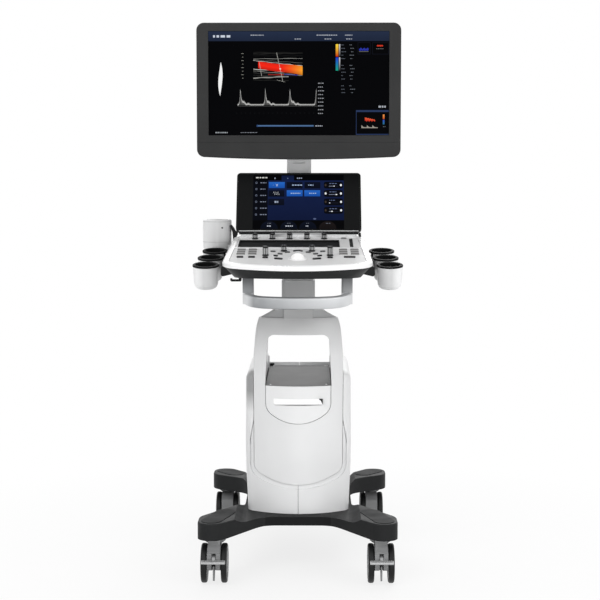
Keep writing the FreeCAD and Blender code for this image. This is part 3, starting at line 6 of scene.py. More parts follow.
import bmesh
import bpy
import numpy as np
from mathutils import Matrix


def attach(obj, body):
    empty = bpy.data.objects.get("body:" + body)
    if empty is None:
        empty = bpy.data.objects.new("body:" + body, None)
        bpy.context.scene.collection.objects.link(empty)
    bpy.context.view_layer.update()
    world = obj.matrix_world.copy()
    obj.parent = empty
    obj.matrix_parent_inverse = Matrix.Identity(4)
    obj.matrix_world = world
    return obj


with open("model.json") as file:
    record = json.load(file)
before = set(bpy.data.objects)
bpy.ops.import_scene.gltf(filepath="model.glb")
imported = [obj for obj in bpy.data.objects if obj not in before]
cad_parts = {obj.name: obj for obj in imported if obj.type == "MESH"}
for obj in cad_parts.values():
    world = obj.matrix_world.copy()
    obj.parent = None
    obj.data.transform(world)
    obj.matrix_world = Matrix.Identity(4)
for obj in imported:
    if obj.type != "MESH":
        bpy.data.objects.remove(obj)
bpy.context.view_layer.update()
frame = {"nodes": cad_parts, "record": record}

nodes = frame["nodes"]
print("packed model loaded:", len(nodes), "nodes")


# Screen value 0 to 1 to light: ((t + 0.055) / 1.055) ^ 2.4, or t / 12.92 in the darks.
def linear(tone):
    tone = np.asarray(tone, float)
    return np.where(tone <= 0.04045, tone / 12.92, ((tone + 0.055) / 1.055) ** 2.4)


# Short hand for the nodes of one material or world.
class Graph:
    def __init__(self, owner):
        owner.use_nodes = True
        self.owner = owner
        self.tree = owner.node_tree

    # Sets a node's inputs: a socket is linked, anything else is the input's own value.
    def fill(self, node, inputs):
        for key, value in inputs.items():
            if isinstance(value, bpy.types.NodeSocket):
                self.tree.links.new(value, node.inputs[key])
            else:
                node.inputs[key].default_value = value
        return node

    def node(self, kind, inputs={}, **settings):
        made = self.tree.nodes.new("ShaderNode" + kind)
        for key, value in settings.items():
            setattr(made, key, value)
        return self.fill(made, inputs)

    def noise(self, scale, detail=2.0, stretch=None):
        source = self.node("Mapping", {0: self.place, "Scale": stretch}).outputs[0] if stretch else self.place
        return self.node("TexNoise", {"Vector": source, "Scale": scale, "Detail": detail}).outputs["Fac"]

    def ranged(self, source, low, high, outLow=0.0, outHigh=1.0):
        return self.node("MapRange", {0: source, 1: low, 2: high, 3: outLow, 4: outHigh}).outputs[0]

    # Colour between first and second, each a screen colour or a socket.
    def mixed(self, factor, first, second):
        first, second = ((*linear(end), 1.0) if isinstance(end, tuple) else end for end in (first, second))
        return self.node("Mix", {0: factor, 6: first, 7: second}, data_type="RGBA").outputs[2]

    def maths(self, operation, first, second):
        return self.node("Math", {0: first, 1: second}, operation=operation).outputs[0]

    def vector(self, operation, inputs):
        made = self.node("VectorMath", inputs, operation=operation)
        return made.outputs["Value" if operation in ("DOT_PRODUCT", "LENGTH") else "Vector"]

    # Signed distance of the point from origin along direction: (p - o) . d
    def along(self, direction, origin=(0.0, 0.0, 0.0)):
        reach = self.vector("DOT_PRODUCT", {0: self.place, 1: direction})
        return self.maths("SUBTRACT", reach, sum(a * b for a, b in zip(origin, direction)))

    # Distance from an axis through centre; keep holds 1 for the axes that count and 0 for the others.
    def radius(self, centre, keep):
        shift = self.vector("SUBTRACT", {0: self.place, 1: centre})
        return self.vector("LENGTH", {0: self.vector("MULTIPLY", {0: shift, 1: keep})})


# A new material, its shader and the point in the object's own coordinates.
def surface(name):
    graph = Graph(bpy.data.materials.new(name))
    graph.shader = graph.tree.nodes["Principled BSDF"]
    graph.place = graph.node("TexCoord").outputs["Object"]
    return graph


def placed(name, data):
    made = bpy.data.objects.new(name, data)
    bpy.context.scene.collection.objects.link(made)
    return made


# Camera, floor and light

cameraView = {"place": (0.032, -3.6754, 1.0045), "fromDown": 85.02, "toLeft": 0.44, "lens": 84.0, "sensor": 36.0,
              "farEnd": 40.0}
studio = {
    "floorSize": 14.0,
    "floorTone": 0.86,
    "floorGlow": (0.80, 1.0),    # share of plain white in what the camera sees of the floor, near and far
    "floorFade": (0.45, 1.30),   # distance from the middle over which it rises
    "skyLight": 0.47,
    # name: place, aimed at, width, height, watts
    "lamps": {
        "keyLamp": ((-1.9, -3.2, 3.3), (0.0, 0.0, 0.8), 2.4, 2.4, 62.0),
        "lowLamp": ((0.5, -3.4, 0.6), (0.0, 0.0, 0.4), 2.0, 1.0, 17.0),
        "fillLamp": ((2.6, -2.6, 1.9), (0.0, 0.0, 0.8), 2.2, 2.6, 36.0),
        "topLamp": ((0.2, 0.6, 3.6), (0.0, 0.0, 0.9), 2.6, 2.6, 34.0),
        "rearLamp": ((0.6, 3.4, 2.4), (0.0, 0.0, 0.8), 2.6, 2.2, 42.0),
    },
}


def makeCamera(view):
    data = bpy.data.cameras.new("mainCamera")
    data.lens, data.sensor_width, data.clip_end = view["lens"], view["sensor"], view["farEnd"]
    camera = placed("mainCamera", data)
    camera.location = view["place"]
    camera.rotation_euler = (math.radians(view["fromDown"]), 0.0, math.radians(view["toLeft"]))
    bpy.context.scene.camera = camera


# Euler turn that points a lamp's -Z from place to target.
def lookAt(place, target):
    dx, dy, dz = (b - a for a, b in zip(place, target))
    return math.acos(-dz / math.sqrt(dx * dx + dy * dy + dz * dz)), 0.0, math.atan2(dy, dx) - math.pi / 2


# 1 on camera, glossy and transmission rays, 0 on the rays that light the object.
def seenDirectly(graph):
    rays = graph.node("LightPath").outputs
    shiny = graph.maths("MAXIMUM", rays["Is Camera Ray"], rays["Is Glossy Ray"])
    return graph.maths("MAXIMUM", shiny, rays["Is Transmission Ray"])


def makeStudio(values):
    half = values["floorSize"] / 2
    mesh = bpy.data.meshes.new("studioFloor")
    mesh.from_pydata([(-half, -half, 0), (half, -half, 0), (half, half, 0), (-half, half, 0)], [], [(0, 1, 2, 3)])
    floor = placed("studioFloor", mesh)
    graph = surface("paleFloor")
    graph.fill(graph.shader, {"Base Color": (*[values["floorTone"]] * 3, 1.0), "Roughness": 0.9,
                              "Specular IOR Level": 0.0})
    away = graph.vector("LENGTH", {0: graph.node("NewGeometry").outputs["Position"]})
    rising = graph.ranged(away, *values["floorFade"], *values["floorGlow"])
    share = graph.maths("MULTIPLY", seenDirectly(graph), rising)
    blend = graph.node("MixShader", {0: share, 1: graph.shader.outputs[0], 2: graph.node("Emission").outputs[0]})
    graph.fill(graph.tree.nodes["Material Output"], {0: blend.outputs[0]})
    mesh.materials.append(graph.owner)

    bpy.context.scene.world = bpy.data.worlds.new("paleRoom")
    graph = Graph(bpy.context.scene.world)
    white = (1.0, 1.0, 1.0, 1.0)
    soft = graph.fill(graph.tree.nodes["Background"], {0: white, 1: values["skyLight"]})
    plain = graph.node("Background", {0: white})
    blend = graph.node("MixShader", {0: seenDirectly(graph), 1: soft.outputs[0], 2: plain.outputs[0]})
    graph.fill(graph.tree.nodes["World Output"], {0: blend.outputs[0]})

    for name, (place, target, width, height, watts) in values["lamps"].items():
        data = bpy.data.lights.new(name, "AREA")
        data.shape = "RECTANGLE"
        data.size, data.size_y, data.energy = width, height, watts
        lamp = placed(name, data)
        lamp.location = place
        lamp.rotation_euler = lookAt(place, target)
    bpy.context.scene.view_settings.view_transform = "Standard"


makeCamera(cameraView)
makeStudio(studio)
print("camera, floor and lamps placed")


# Finishes

consoleTilt = math.radians(9.0)
consoleEdge = (0.0, 0.002, 0.853)       # rear edge of the console's top face
consoleNormal = (0.0, -math.sin(consoleTilt), math.cos(consoleTilt))
consoleRun = (0.0, math.cos(consoleTilt), math.sin(consoleTilt))

# What a finish takes where its look says nothing else
plainLook = {"drift": 0.035, "wear": 0.35, "edge": 0.0009, "roughSpread": 0.06, "stretch": None, "grain": 1300.0,
             "grainStrength": 0.35, "grainDepth": 0.00006}


# A moulded, painted or metal surface: broad colour drift, fine grain, uneven gloss and softly worn edges.
# tinted(graph, colour) may change the colour before the edges are worn.
def finish(name, look, tinted=None):
    look = {**plainLook, **look}
    graph = surface(name)
    colour, drift, rough, spread = (look[key] for key in ("colour", "drift", "rough", "roughSpread"))
    body = graph.mixed(graph.ranged(graph.noise(7.0, 3.0), 0.35, 0.65), tuple(c * (1 - drift) for c in colour),
                       tuple(min(1.0, c * (1 + drift)) for c in colour))
    if tinted:
        body = tinted(graph, body)
    bevel = graph.node("Bevel", {"Radius": look["edge"]}, samples=4).outputs[0]
    turn = graph.vector("DOT_PRODUCT", {0: bevel, 1: graph.node("NewGeometry").outputs["Normal"]})
    worn = graph.ranged(turn, 0.985, 0.80, 0.0, look["wear"])
    patchy = graph.maths("MULTIPLY", worn, graph.ranged(graph.noise(38.0, 4.0), 0.38, 0.62, 0.25))
    edgeTone = look.get("edgeTone", tuple(min(1.0, c + 0.16) for c in colour))
    cloudy = graph.ranged(graph.noise(24.0, 4.0), 0.3, 0.7, rough - spread, rough + spread)
    bump = graph.node("Bump", {"Strength": look["grainStrength"], "Distance": look["grainDepth"], "Normal": bevel,
                               "Height": graph.noise(look["grain"], 2.0, look["stretch"])})
    graph.fill(graph.shader, {"Base Color": graph.mixed(patchy, body, edgeTone), "Roughness": cloudy,
                              "Normal": bump.outputs[0]})
    for key, socket in (("metal", "Metallic"), ("coat", "Coat Weight"), ("coatRough", "Coat Roughness"),
                        ("specular", "Specular IOR Level")):
        if key in look:
            graph.shader.inputs[socket].default_value = look[key]
    return graph.owner


# Puts the material in every slot of the named CAD nodes.
def dress(material, *names):
    for name in names:
        mesh = nodes[name].data
        if not mesh.materials:
            mesh.materials.append(material)
        for index in range(len(mesh.materials)):
            mesh.materials[index] = material


def grey(value, blue=0.006):
    return (value, value + blue / 2, value + blue)


# A look in one grey screen value, a little bluer by blue.
def paint(value, rough, blue=0.006, **more):
    return {"colour": grey(value, blue), "rough": rough, **more}


looks = {
    "base": paint(0.125, 0.55, specular=0.14, grain=1500.0, grainDepth=0.00010, wear=0.30, edgeTone=grey(0.33)),
    "frame_steel": paint(0.34, 0.45, specular=0.3, grain=900.0),
    "white_cover": paint(0.890, 0.36, 0.004, drift=0.008, grain=1800.0, grainDepth=0.00003, wear=0.20, coat=0.12,
                         coatRough=0.25),
    "rear_panel": paint(0.82, 0.48, drift=0.02, grain=1200.0, grainDepth=0.00010),
    "shelf_steel": paint(0.274, 0.55, 0.002, specular=0.15, drift=0.008, grainDepth=0.00005, roughSpread=0.02),
    "inlet": paint(0.08, 0.42, specular=0.2),
    "unit_metal": paint(0.62, 0.36, metal=0.9, stretch=(1.0, 0.05, 1.0), grain=700.0),
    "ports": paint(0.16, 0.48, specular=0.2),
    "neck": paint(0.680, 0.42, specular=0.3, drift=0.015),
    "mast": paint(0.860, 0.40, stretch=(1.0, 1.0, 0.04), grain=900.0),
    "spring_body": paint(0.07, 0.25),
    "spring_rod": paint(0.82, 0.12, metal=1.0, stretch=(1.0, 1.0, 0.04), grain=900.0),
    "caster_fork": paint(0.505, 0.42, specular=0.3, grain=1500.0),
    "caster_pedal": paint(0.72, 0.40, specular=0.3),
    "lower_shell": paint(0.140, 0.48, specular=0.14, grain=1500.0, grainDepth=0.00008, edgeTone=grey(0.26)),
    "console_rim": paint(0.945, 0.30, 0.002, drift=0.008, grain=1800.0, grainDepth=0.00002, wear=0.15, coat=0.2,
                         coatRough=0.2),
    "deck": paint(0.790, 0.44, 0.001, drift=0.012, grain=2200.0, grainDepth=0.00005),
    "tray": paint(0.075, 0.55, specular=0.10, grain=1400.0, grainDepth=0.00010),
    "hook": paint(0.06, 0.45, specular=0.15),
    "holder": paint(0.790, 0.34, 0.003, drift=0.010, wear=0.2, coat=0.12),
    "liner": paint(0.035, 0.60, specular=0.12, grain=1100.0, grainDepth=0.00008),
    "warmer": paint(0.750, 0.34, 0.003, drift=0.008, wear=0.2, coat=0.12),
    "ball": paint(0.945, 0.14, -0.004, drift=0.006, coat=0.5, coatRough=0.05),
    "hinge": paint(0.640, 0.40, specular=0.3),
    "knob": paint(0.12, 0.30, metal=0.3, specular=0.2, wear=0.5, edgeTone=grey(0.55)),
    "power_key": paint(0.42, 0.30),
    "touch_housing": {"colour": (0.074, 0.080, 0.076), "rough": 0.42, "specular": 0.08, "grain": 1700.0,
                      "wear": 0.45, "edgeTone": grey(0.30), "edge": 0.0012},
    "post": paint(0.930, 0.38, drift=0.02, stretch=(1.0, 1.0, 0.2)),
    "bracket": paint(0.90, 0.40, drift=0.02),
    "monitor_shell": paint(0.196, 0.50, 0.002, specular=0.10, grain=1700.0, grainDepth=0.00007, wear=0.30,
                           edgeTone=grey(0.32)),
    "screen": paint(0.012, 0.30, specular=0.05, roughSpread=0.03, wear=0.0, grainStrength=0.05),
    "touch_glass": paint(0.060, 0.34, specular=0.06, roughSpread=0.03, wear=0.1, grainStrength=0.05),
}

handleLook = paint(0.835, 0.30, 0.018, roughSpread=0.015, metal=0.15, specular=0.4, drift=0.005, grain=1600.0)
# painted light and shade: screen values at the left and right end, the ends, and heights over the console's rear edge
handleShadeTones = {"bar": (0.600, 0.835), "foot": (0.550, 0.760), "leg": (0.580, 0.620), "top": (0.240, 0.300),
               "outer": grey(0.850, 0.012), "ends": (-0.085, 0.090), "outerEnds": (0.106, 0.123),
               "barLow": -0.1080, "legLow": -0.0815, "legHigh": -0.036}
shieldLook = {**looks["white_cover"], "colour": grey(0.870, 0.004)}
padLook = paint(0.125, 0.66, specular=0.12, grain=700.0, grainDepth=0.00025)
wheelLook = paint(0.60, 0.5, specular=0.25, grain=900.0)
wheelTread = (0.0411, 0.0419, grey(0.070))      # radius over which the rubber begins, and its tone
ringLook = paint(0.90, 0.34, 0.002, drift=0.01, wear=0.15)
keyLook = paint(0.30, 0.42, specular=0.15, wear=0.25, edgeTone=grey(0.45))
blockLook = {**keyLook, "colour": grey(0.72, 0.0)}
blockBand = {"firstRow": -0.170, "pitch": 0.025, "edges": (0.0036, 0.0050), "tone": (0.110, 0.098, 0.088)}

slotOf = {row["node"]: row["material_slot"] for row in frame["record"]["subparts"]}
for slotName, look in looks.items():
    dress(finish("finish_" + slotName, look), *[node for node in slotOf if slotOf[node] == slotName])


# Tint of rows (distance, low, high, tone): the colour turns to tone as distance(graph) goes from low to high.
def fades(*rows):
    def change(graph, body):
        for distance, low, high, tone in rows:
            body = graph.mixed(graph.ranged(distance(graph), low, high), body, tone)
        return body
    return change


toRight = lambda graph: graph.along((1.0, 0.0, 0.0))
toRear = lambda graph: graph.along((0.0, 1.0, 0.0))
upwards = lambda graph: graph.along((0.0, 0.0, 1.0))
sideways = lambda graph: graph.radius((0.0, 0.0, 0.0), (1.0, 0.0, 0.0))
deckHeight = lambda graph: graph.along(consoleNormal, consoleEdge)
deckRun = lambda graph: graph.along(consoleRun, consoleEdge)
darkRow = fades((deckRun, -0.2355, -0.2365, grey(0.025)))


# Painted light and shade on the handle: the bar is darker along its foot and to the left, paler at its outer ends, and
# its legs darken upwards into the shade of the console
def handleShadeTint(graph, body):
    height = deckHeight(graph)
    side = graph.ranged(toRight(graph), *handleShadeTones["ends"])
    bar, foot, leg, top = (graph.mixed(side, grey(handleShadeTones[key][0], 0.018), grey(handleShadeTones[key][1], 0.014))
                           for key in ("bar", "foot", "leg", "top"))
    bar = graph.mixed(graph.ranged(graph.noise(30.0), 0.3, 0.7, 0.75), body, bar)
    low, high = handleShadeTones["barLow"], handleShadeTones["legLow"]
    bar = graph.mixed(graph.ranged(height, low, high - 0.004), foot, bar)
    bar = graph.mixed(graph.ranged(sideways(graph), *handleShadeTones["outerEnds"]), bar, handleShadeTones["outer"])
    leg = graph.mixed(graph.ranged(height, high, handleShadeTones["legHigh"]), leg, top)
    return graph.mixed(graph.ranged(height, high - 0.0006, high + 0.0006), bar, leg)


# Painted shade: the left cover is greyer over the front of its shoulder, the product of a rise in z, one in -x and one
# in -y
def coverShoulderShade(graph, body):
    rise, outside = graph.ranged(upwards(graph), 0.400, 0.452), graph.ranged(toRight(graph), -0.094, -0.104)
    front = graph.ranged(toRear(graph), 0.015, -0.055)
    corner = graph.maths("MULTIPLY", graph.maths("MULTIPLY", rise, outside), front)
    return graph.mixed(corner, body, grey(0.600, 0.004))


# Band across the middle of each row: d = pingpong(run - first row, pitch / 2) under the band's half width
def bandTint(graph, body):
    shift = graph.maths("SUBTRACT", deckRun(graph), blockBand["firstRow"])
    away = graph.maths("PINGPONG", shift, blockBand["pitch"] / 2)
    return darkRow(graph, graph.mixed(graph.ranged(away, *blockBand["edges"], 1.0, 0.0), body, blockBand["tone"]))


# name: look, tint, nodes
tinted = {
    "foot_pad": (padLook, None, "foot_pads"),
    "ring": (ringLook, fades((deckRun, -0.2155, -0.2145, grey(0.05))), "trackball_ring"),
    "handle": (handleLook, handleShadeTint, "handle"),
    "cover_left": (looks["white_cover"], coverShoulderShade, "side_cover_left"),
    # painted light: the cups are paler along their outer sides, the warmer towards its left, where the light falls on
    # them
    "holder": (looks["holder"], fades((sideways, 0.231, 0.249, grey(0.955, 0.003))), "holder_left_shell",
               "holder_right_shell"),
    "warmer": (looks["warmer"], fades((toRight, -0.205, -0.245, grey(0.910, 0.003))), "gel_warmer"),
    # the tongue of the pedal, behind its bar, is as dark as the fork
    "caster_pedal": (looks["caster_pedal"], fades((toRear, -0.298, -0.296, grey(0.505))), "caster_front_left_pedal",
                     "caster_front_right_pedal"),
    # the shield greys towards the hood, in the shade of the console
    "shield": (shieldLook, fades((upwards, 0.545, 0.625, grey(0.765, 0.004)),
                                 (upwards, 0.640, 0.668, grey(0.840, 0.004))), "front_shield"),
    # painted shadow: the middle of the base, under the column, is darker
    "chassis": (looks["base"], fades((sideways, 0.0845, 0.0825, grey(0.065))), "base_chassis"),
    "shelf": (looks["shelf_steel"], fades((upwards, 0.4708, 0.4714, grey(0.90))), "printer_shelf"),
    "key": (keyLook, darkRow, "arc_keys_left", "arc_keys_right"),
    "key_block": (blockLook, bandTint, "keys_left", "keys_right"),
    # painted shade: the rim is white in front and a little greyer along its sides and rear
    "rim": (looks["console_rim"], fades((deckRun, -0.335, -0.290, grey(0.875, 0.002))), "console_upper_shell"),
}
for name, (look, tint, *dressed) in tinted.items():
    dress(finish("finish_" + name, look, tint), *dressed)

casterPlaces = {}       # axle's middle of each caster
for end, axleY in (("front", -0.256), ("rear", 0.320)):
    for side, axleX in (("left", -0.207), ("right", 0.207)):
        name = "caster_%s_%s" % (end, side)
        casterPlaces[name] = (axleX, axleY, 0.049)
        fromAxle = lambda graph, at=casterPlaces[name]: graph.radius(at, (0.0, 1.0, 1.0))
        dress(finish("finish_wheel_" + name, wheelLook, fades((fromAxle, *wheelTread))), name + "_wheels")
print("finishes on the packed nodes")


# Mesh helpers

# A mesh object from arrays: doubles merged, normals turned outwards, riding on its body.
def addPiece(name, vertices, faces, material, body, slotName, smooth=True, weld=2e-7):
    mesh = bpy.data.meshes.new(name)
    mesh.from_pydata(np.asarray(vertices, float).reshape(-1, 3).tolist(), [], [list(face) for face in faces])
    work = bmesh.new()
    work.from_mesh(mesh)
    if weld:
        bmesh.ops.remove_doubles(work, verts=work.verts, dist=weld)
        bmesh.ops.dissolve_degenerate(work, edges=work.edges, dist=weld)
        bmesh.ops.recalc_face_normals(work, faces=work.faces)
    work.to_mesh(mesh)
    work.free()
    if smooth:
        mesh.shade_smooth()
        mesh.set_sharp_from_angle(angle=math.radians(38.0))
    mesh.materials.append(material)
    piece = placed(name, mesh)
    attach(piece, body)
    return piece


# Quads (i, j), (i, j+1), (i+1, j+1), (i+1, j) of a rows x columns grid; wrap joins the last column to the first.
def gridFaces(rows, columns, wrap=False):
    i, j = np.meshgrid(np.arange(rows - 1), np.arange(columns if wrap else columns - 1), indexing="ij")
    after = (j + 1) % columns
    return np.stack([i * columns + j, i * columns + after, (i + 1) * columns + after, (i + 1) * columns + j],
                    -1).reshape(-1, 4)


# Console coordinates (x, run, height) to the frame: y = y0 + r cos a - h sin a, z = z0 + r sin a + h cos a
def onConsole(points):
    points = np.asarray(points, float)
    c, s = math.cos(consoleTilt), math.sin(consoleTilt)
    return np.stack([points[..., 0], consoleEdge[1] + points[..., 1] * c - points[..., 2] * s,
                     consoleEdge[2] + points[..., 1] * s + points[..., 2] * c], -1)


# Turned grid about Z: (r cos t, r sin t, z), with r less depth (1 - cos(flutes t)) / 2 where the third column is 1.
def lathe(profile, steps, flutes=0, depth=0.0):
    profile = np.asarray(profile, float)
    turn = np.linspace(0.0, 2 * math.pi, steps, endpoint=False)
    radius = profile[:, :1] - np.zeros((1, steps))
    if flutes:
        radius = radius - profile[:, 2:3] * depth * (1 - np.cos(flutes * turn)) / 2
    return np.stack([radius * np.cos(turn), radius * np.sin(turn), profile[:, 1:2] + 0 * turn], -1)


# Lit pictures: strips between a lower and an upper line, each with its own depth and colours

pictureLook = {"step": 0.00006, "thickness": 0.00004, "specular": 0.01, "unlit": (0.0008, 0.0008, 0.001, 1.0)}


# The colour attribute glows, a little uneven as a panel's backlight is.
def litMaterial(name, strength):
    graph = surface(name)
    tint = graph.node("Attribute", attribute_name="tint").outputs["Color"]
    even = graph.ranged(graph.noise(30.0, 3.0), 0.3, 0.7, 0.94)
    graph.fill(graph.shader, {"Emission Color": graph.vector("SCALE", {0: tint, "Scale": even}),
                              "Emission Strength": strength, "Base Color": pictureLook["unlit"],
                              "Specular IOR Level": pictureLook["specular"],
                              "Roughness": graph.ranged(graph.noise(60.0, 3.0), 0.3, 0.7, 0.30, 0.40)})
    return graph.owner


# Adds the band between two lines of (u, v) points; low and high are its colours along the two lines.
def strip(shapes, lower, upper, layer, low, high=None):
    lower, upper = np.asarray(lower, float), np.asarray(upper, float)
    colours = np.zeros((2, len(lower), 3))
    colours[0], colours[1] = low, low if high is None else high
    shapes.append((np.stack([lower, upper]), layer, colours))


# The same from the places u and the heights of the two lines, each an array or one number.
def band(shapes, u, low, high, layer, tone, topTone=None):
    strip(shapes, np.stack([u, low + 0 * u], -1), np.stack([u, high + 0 * u], -1), layer, tone, topTone)


# A rectangle from (u0, v0) to (u1, v1).
def block(shapes, u0, v0, u1, v1, layer, tone, topTone=None):
    strip(shapes, [(u0, v0), (u1, v0)], [(u0, v1), (u1, v1)], layer, tone, topTone)


def blocks(shapes, rows, layer, tone):
    for u0, v0, u1, v1 in rows:
        block(shapes, u0, v0, u1, v1, layer, tone)


# |x / a| ^ p + |y / b| ^ p = 1, as a band between its lower and upper halves.
def oval(shapes, u, v, halfWidth, halfHeight, layer, tone, power=2.0, steps=15):
    x = -np.cos(np.linspace(0.0, math.pi, steps))
    y = (1 - np.abs(x) ** power).clip(0) ** (1 / power)
    band(shapes, u + halfWidth * x, v - halfHeight * y, v + halfHeight * y, layer, tone)


# A row of short marks of uneven length with no letters in them: widths w (0.5 + r), r drawn from seed.
def dashes(shapes, u, v, count, width, height, layer, tone, seed):
    rng = np.random.default_rng(seed)
    sizes = width * (0.5 + rng.random(count))
    starts = u + np.concatenate([[0.0], np.cumsum(sizes[:-1] + width * 0.45)])
    blocks(shapes, np.stack([starts, np.full(count, v - height / 2), starts + sizes,
                             np.full(count, v + height / 2)], -1), layer, tone)


# One mesh of all strips; toFrame turns (u, v, layer) into frame coordinates.
def addPicture(name, shapes, toFrame, material, body, slotName):
    vertices, faces, tints, count = [], [], [], 0
    for lines, layer, colours in shapes:
        columns = lines.shape[1]
        vertices.append(toFrame(lines.reshape(-1, 2), layer))
        faces.append(gridFaces(2, columns) + count)
        tints.append(colours.reshape(-1, 3))
        count += 2 * columns
    piece = addPiece(name, np.concatenate(vertices), np.concatenate(faces), material, body, slotName,
                     smooth=False, weld=0)
    tone = linear(np.concatenate(tints))
    attribute = piece.data.color_attributes.new("tint", "FLOAT_COLOR", "POINT")
    attribute.data.foreach_set("color", np.concatenate([tone, np.ones((len(tone), 1))], 1).ravel())
    thicken = piece.modifiers.new("sheet", "SOLIDIFY")
    thicken.thickness = pictureLook["thickness"]
    thicken.offset = -1.0


screenFace = 0.05995
paleText, black = (0.72, 0.74, 0.78), (0.006, 0.007, 0.012)


# An ultrasound page in millimetres: u to the right from the middle, v up from the floor.
def monitorShapes():
    page = []
    block(page, -238.5, 1117.5, 238.5, 1389.5, 0, black)
    block(page, -238.5, 1364.0, 238.5, 1389.5, 1, (0.115, 0.150, 0.230), (0.145, 0.185, 0.275))
    dashes(page, -226.0, 1376.5, 4, 9.0, 6.0, 2, (0.80, 0.83, 0.88), 3)
    for u, v, count, width, height, seed in (
            (-127.0, 1379.5, 9, 3.0, 2.2, 5), (-11.0, 1369.5, 3, 3.6, 1.8, 7), (47.0, 1379.5, 11, 3.2, 2.2, 9),
            (122.0, 1379.5, 5, 3.4, 2.2, 11), (68.0, 1369.5, 3, 3.6, 1.8, 13), (125.0, 1369.5, 3, 3.6, 1.8, 15)):
        dashes(page, u, v, count, width, height, 2, paleText, seed)
    # white probe mark: a tall lens
    v = np.linspace(-1.0, 1.0, 25)
    lens = np.stack([-207.0 + 1.5 * np.sin(v * 2.4), 1265.0 + 44.5 * v], -1)
    bulge = np.stack([5.2 * (1 - v ** 2), 0 * v], -1)
    strip(page, (lens + bulge)[::-1], (lens - bulge)[::-1], 1, (0.97, 0.97, 0.97))
    # depth marks
    for index in range(8):
        size = 3.5 if index % 2 == 0 else 1.6
        block(page, -148.0 - size, 1331.0 - 9.2 * index, -147.0 + size * 0.4, 1332.3 - 9.2 * index, 1,
              (0.55, 0.55, 0.52))
    echoPicture(page)
    flowTrace(page)
    sideWindows(page)
    # time bar and small marks along the foot
    block(page, -111.0, 1140.2, 39.5, 1144.2, 1, (0.25, 0.36, 0.52), (0.33, 0.46, 0.62))
    oval(page, -110.0, 1142.2, 2.0, 3.2, 2, (0.18, 0.28, 0.44))
    dashes(page, 44.0, 1142.0, 4, 3.4, 2.2, 1, paleText, 21)
    dashes(page, -221.0, 1124.5, 7, 3.4, 3.2, 1, (0.62, 0.64, 0.66), 23)
    dashes(page, -154.0, 1124.5, 10, 3.6, 1.6, 1, (0.55, 0.57, 0.60), 25)
    return page


# Wavy grey layers over a sloping flow band: v = v0 - k (u - u0) + a sin(w u + phase).
def echoPicture(page):
    u = np.linspace(-120.0, 10.0, 61)
    t = (u - u[0]) / (u[-1] - u[0])
    wave = lambda amount, pace, phase: amount * np.sin(pace * t * 6.28 + phase)

    def layerLine(fromT, toT, height, slope, width, tone, amount=0.6, pace=3.0, phase=0.0, depth=1):
        keep = (t >= fromT) & (t <= toT)
        middle = height - slope * t + wave(amount, pace, phase)
        half = width / 2 * (0.55 + 0.45 * np.abs(np.sin(pace * 4.1 * t + phase)))
        band(page, u[keep], (middle - half)[keep], (middle + half)[keep], depth, tone)

    for index, (height, slope, width, tone) in enumerate([
            (1334.5, 1.0, 2.6, 0.10), (1330.5, -2.0, 3.0, 0.13), (1326.0, 0.5, 1.6, 0.08), (1317.5, -1.5, 1.0, 0.62),
            (1315.0, 8.0, 1.0, 0.40), (1313.5, 14.0, 1.3, 0.74), (1291.5, 13.0, 1.4, 0.84), (1286.5, 12.0, 1.1, 0.62),
            (1281.0, 7.5, 1.4, 0.24), (1275.0, 2.0, 1.4, 0.18), (1267.5, -6.0, 3.4, 0.56), (1262.0, 1.0, 1.6, 0.14)]):
        tone = (tone, tone, tone * 0.97)
        layerLine(0.0, 1.0 if index < 10 else 0.72, height, slope, width, tone, 0.5, 2.0 + index % 3, 1.7 * index)
    # flow band, red at the left to amber at the right, with a pale tail below it
    keep = t >= 0.10
    top = 1311.5 - 12.5 * t + wave(0.7, 1.5, 0.4)
    foot = 1294.5 - 19.5 * t + wave(0.9, 1.2, 2.0)
    heat = np.clip((t - 0.58) / 0.42, 0.0, 1.0)[:, None]
    warm = np.array([0.93, 0.15, 0.08]) * (1 - heat) + np.array([0.99, 0.62, 0.16]) * heat
    middle, bright = (top + foot) / 2, np.clip(warm * 1.06, 0, 1)
    for low, high, first, second in ((foot, middle, warm * 0.80, bright), (middle, top, bright, warm * 0.96)):
        band(page, u[keep], low[keep], high[keep], 2, first[keep], second[keep])
    layerLine(0.30, 0.62, 1278.5, 4.0, 3.6, (0.55, 0.10, 0.08), 0.4, 2.0, 0.0, 2)
    layerLine(0.62, 0.90, 1279.5, 4.0, 2.2, (0.16, 0.16, 0.62), 0.4, 2.0, 0.0, 2)
    # slanting beam line with its gate, and the left limit of the flow window
    for (u0, v0), (u1, v1), width, tone in (((-58.5, 1334.0), (-42.0, 1259.0), 0.9, 0.75),
                                            ((-104.0, 1308.0), (-98.0, 1273.0), 0.9, 0.72),
                                            ((-58.0, 1262.5), (-36.0, 1257.0), 1.8, 0.80)):
        strip(page, [(u0 - width / 2, v0), (u1 - width / 2, v1)], [(u0 + width / 2, v0), (u1 + width / 2, v1)], 3,
              (tone, tone, tone * 0.96))
    oval(page, -49.0, 1291.5, 2.4, 1.5, 4, (0.90, 0.88, 0.82))


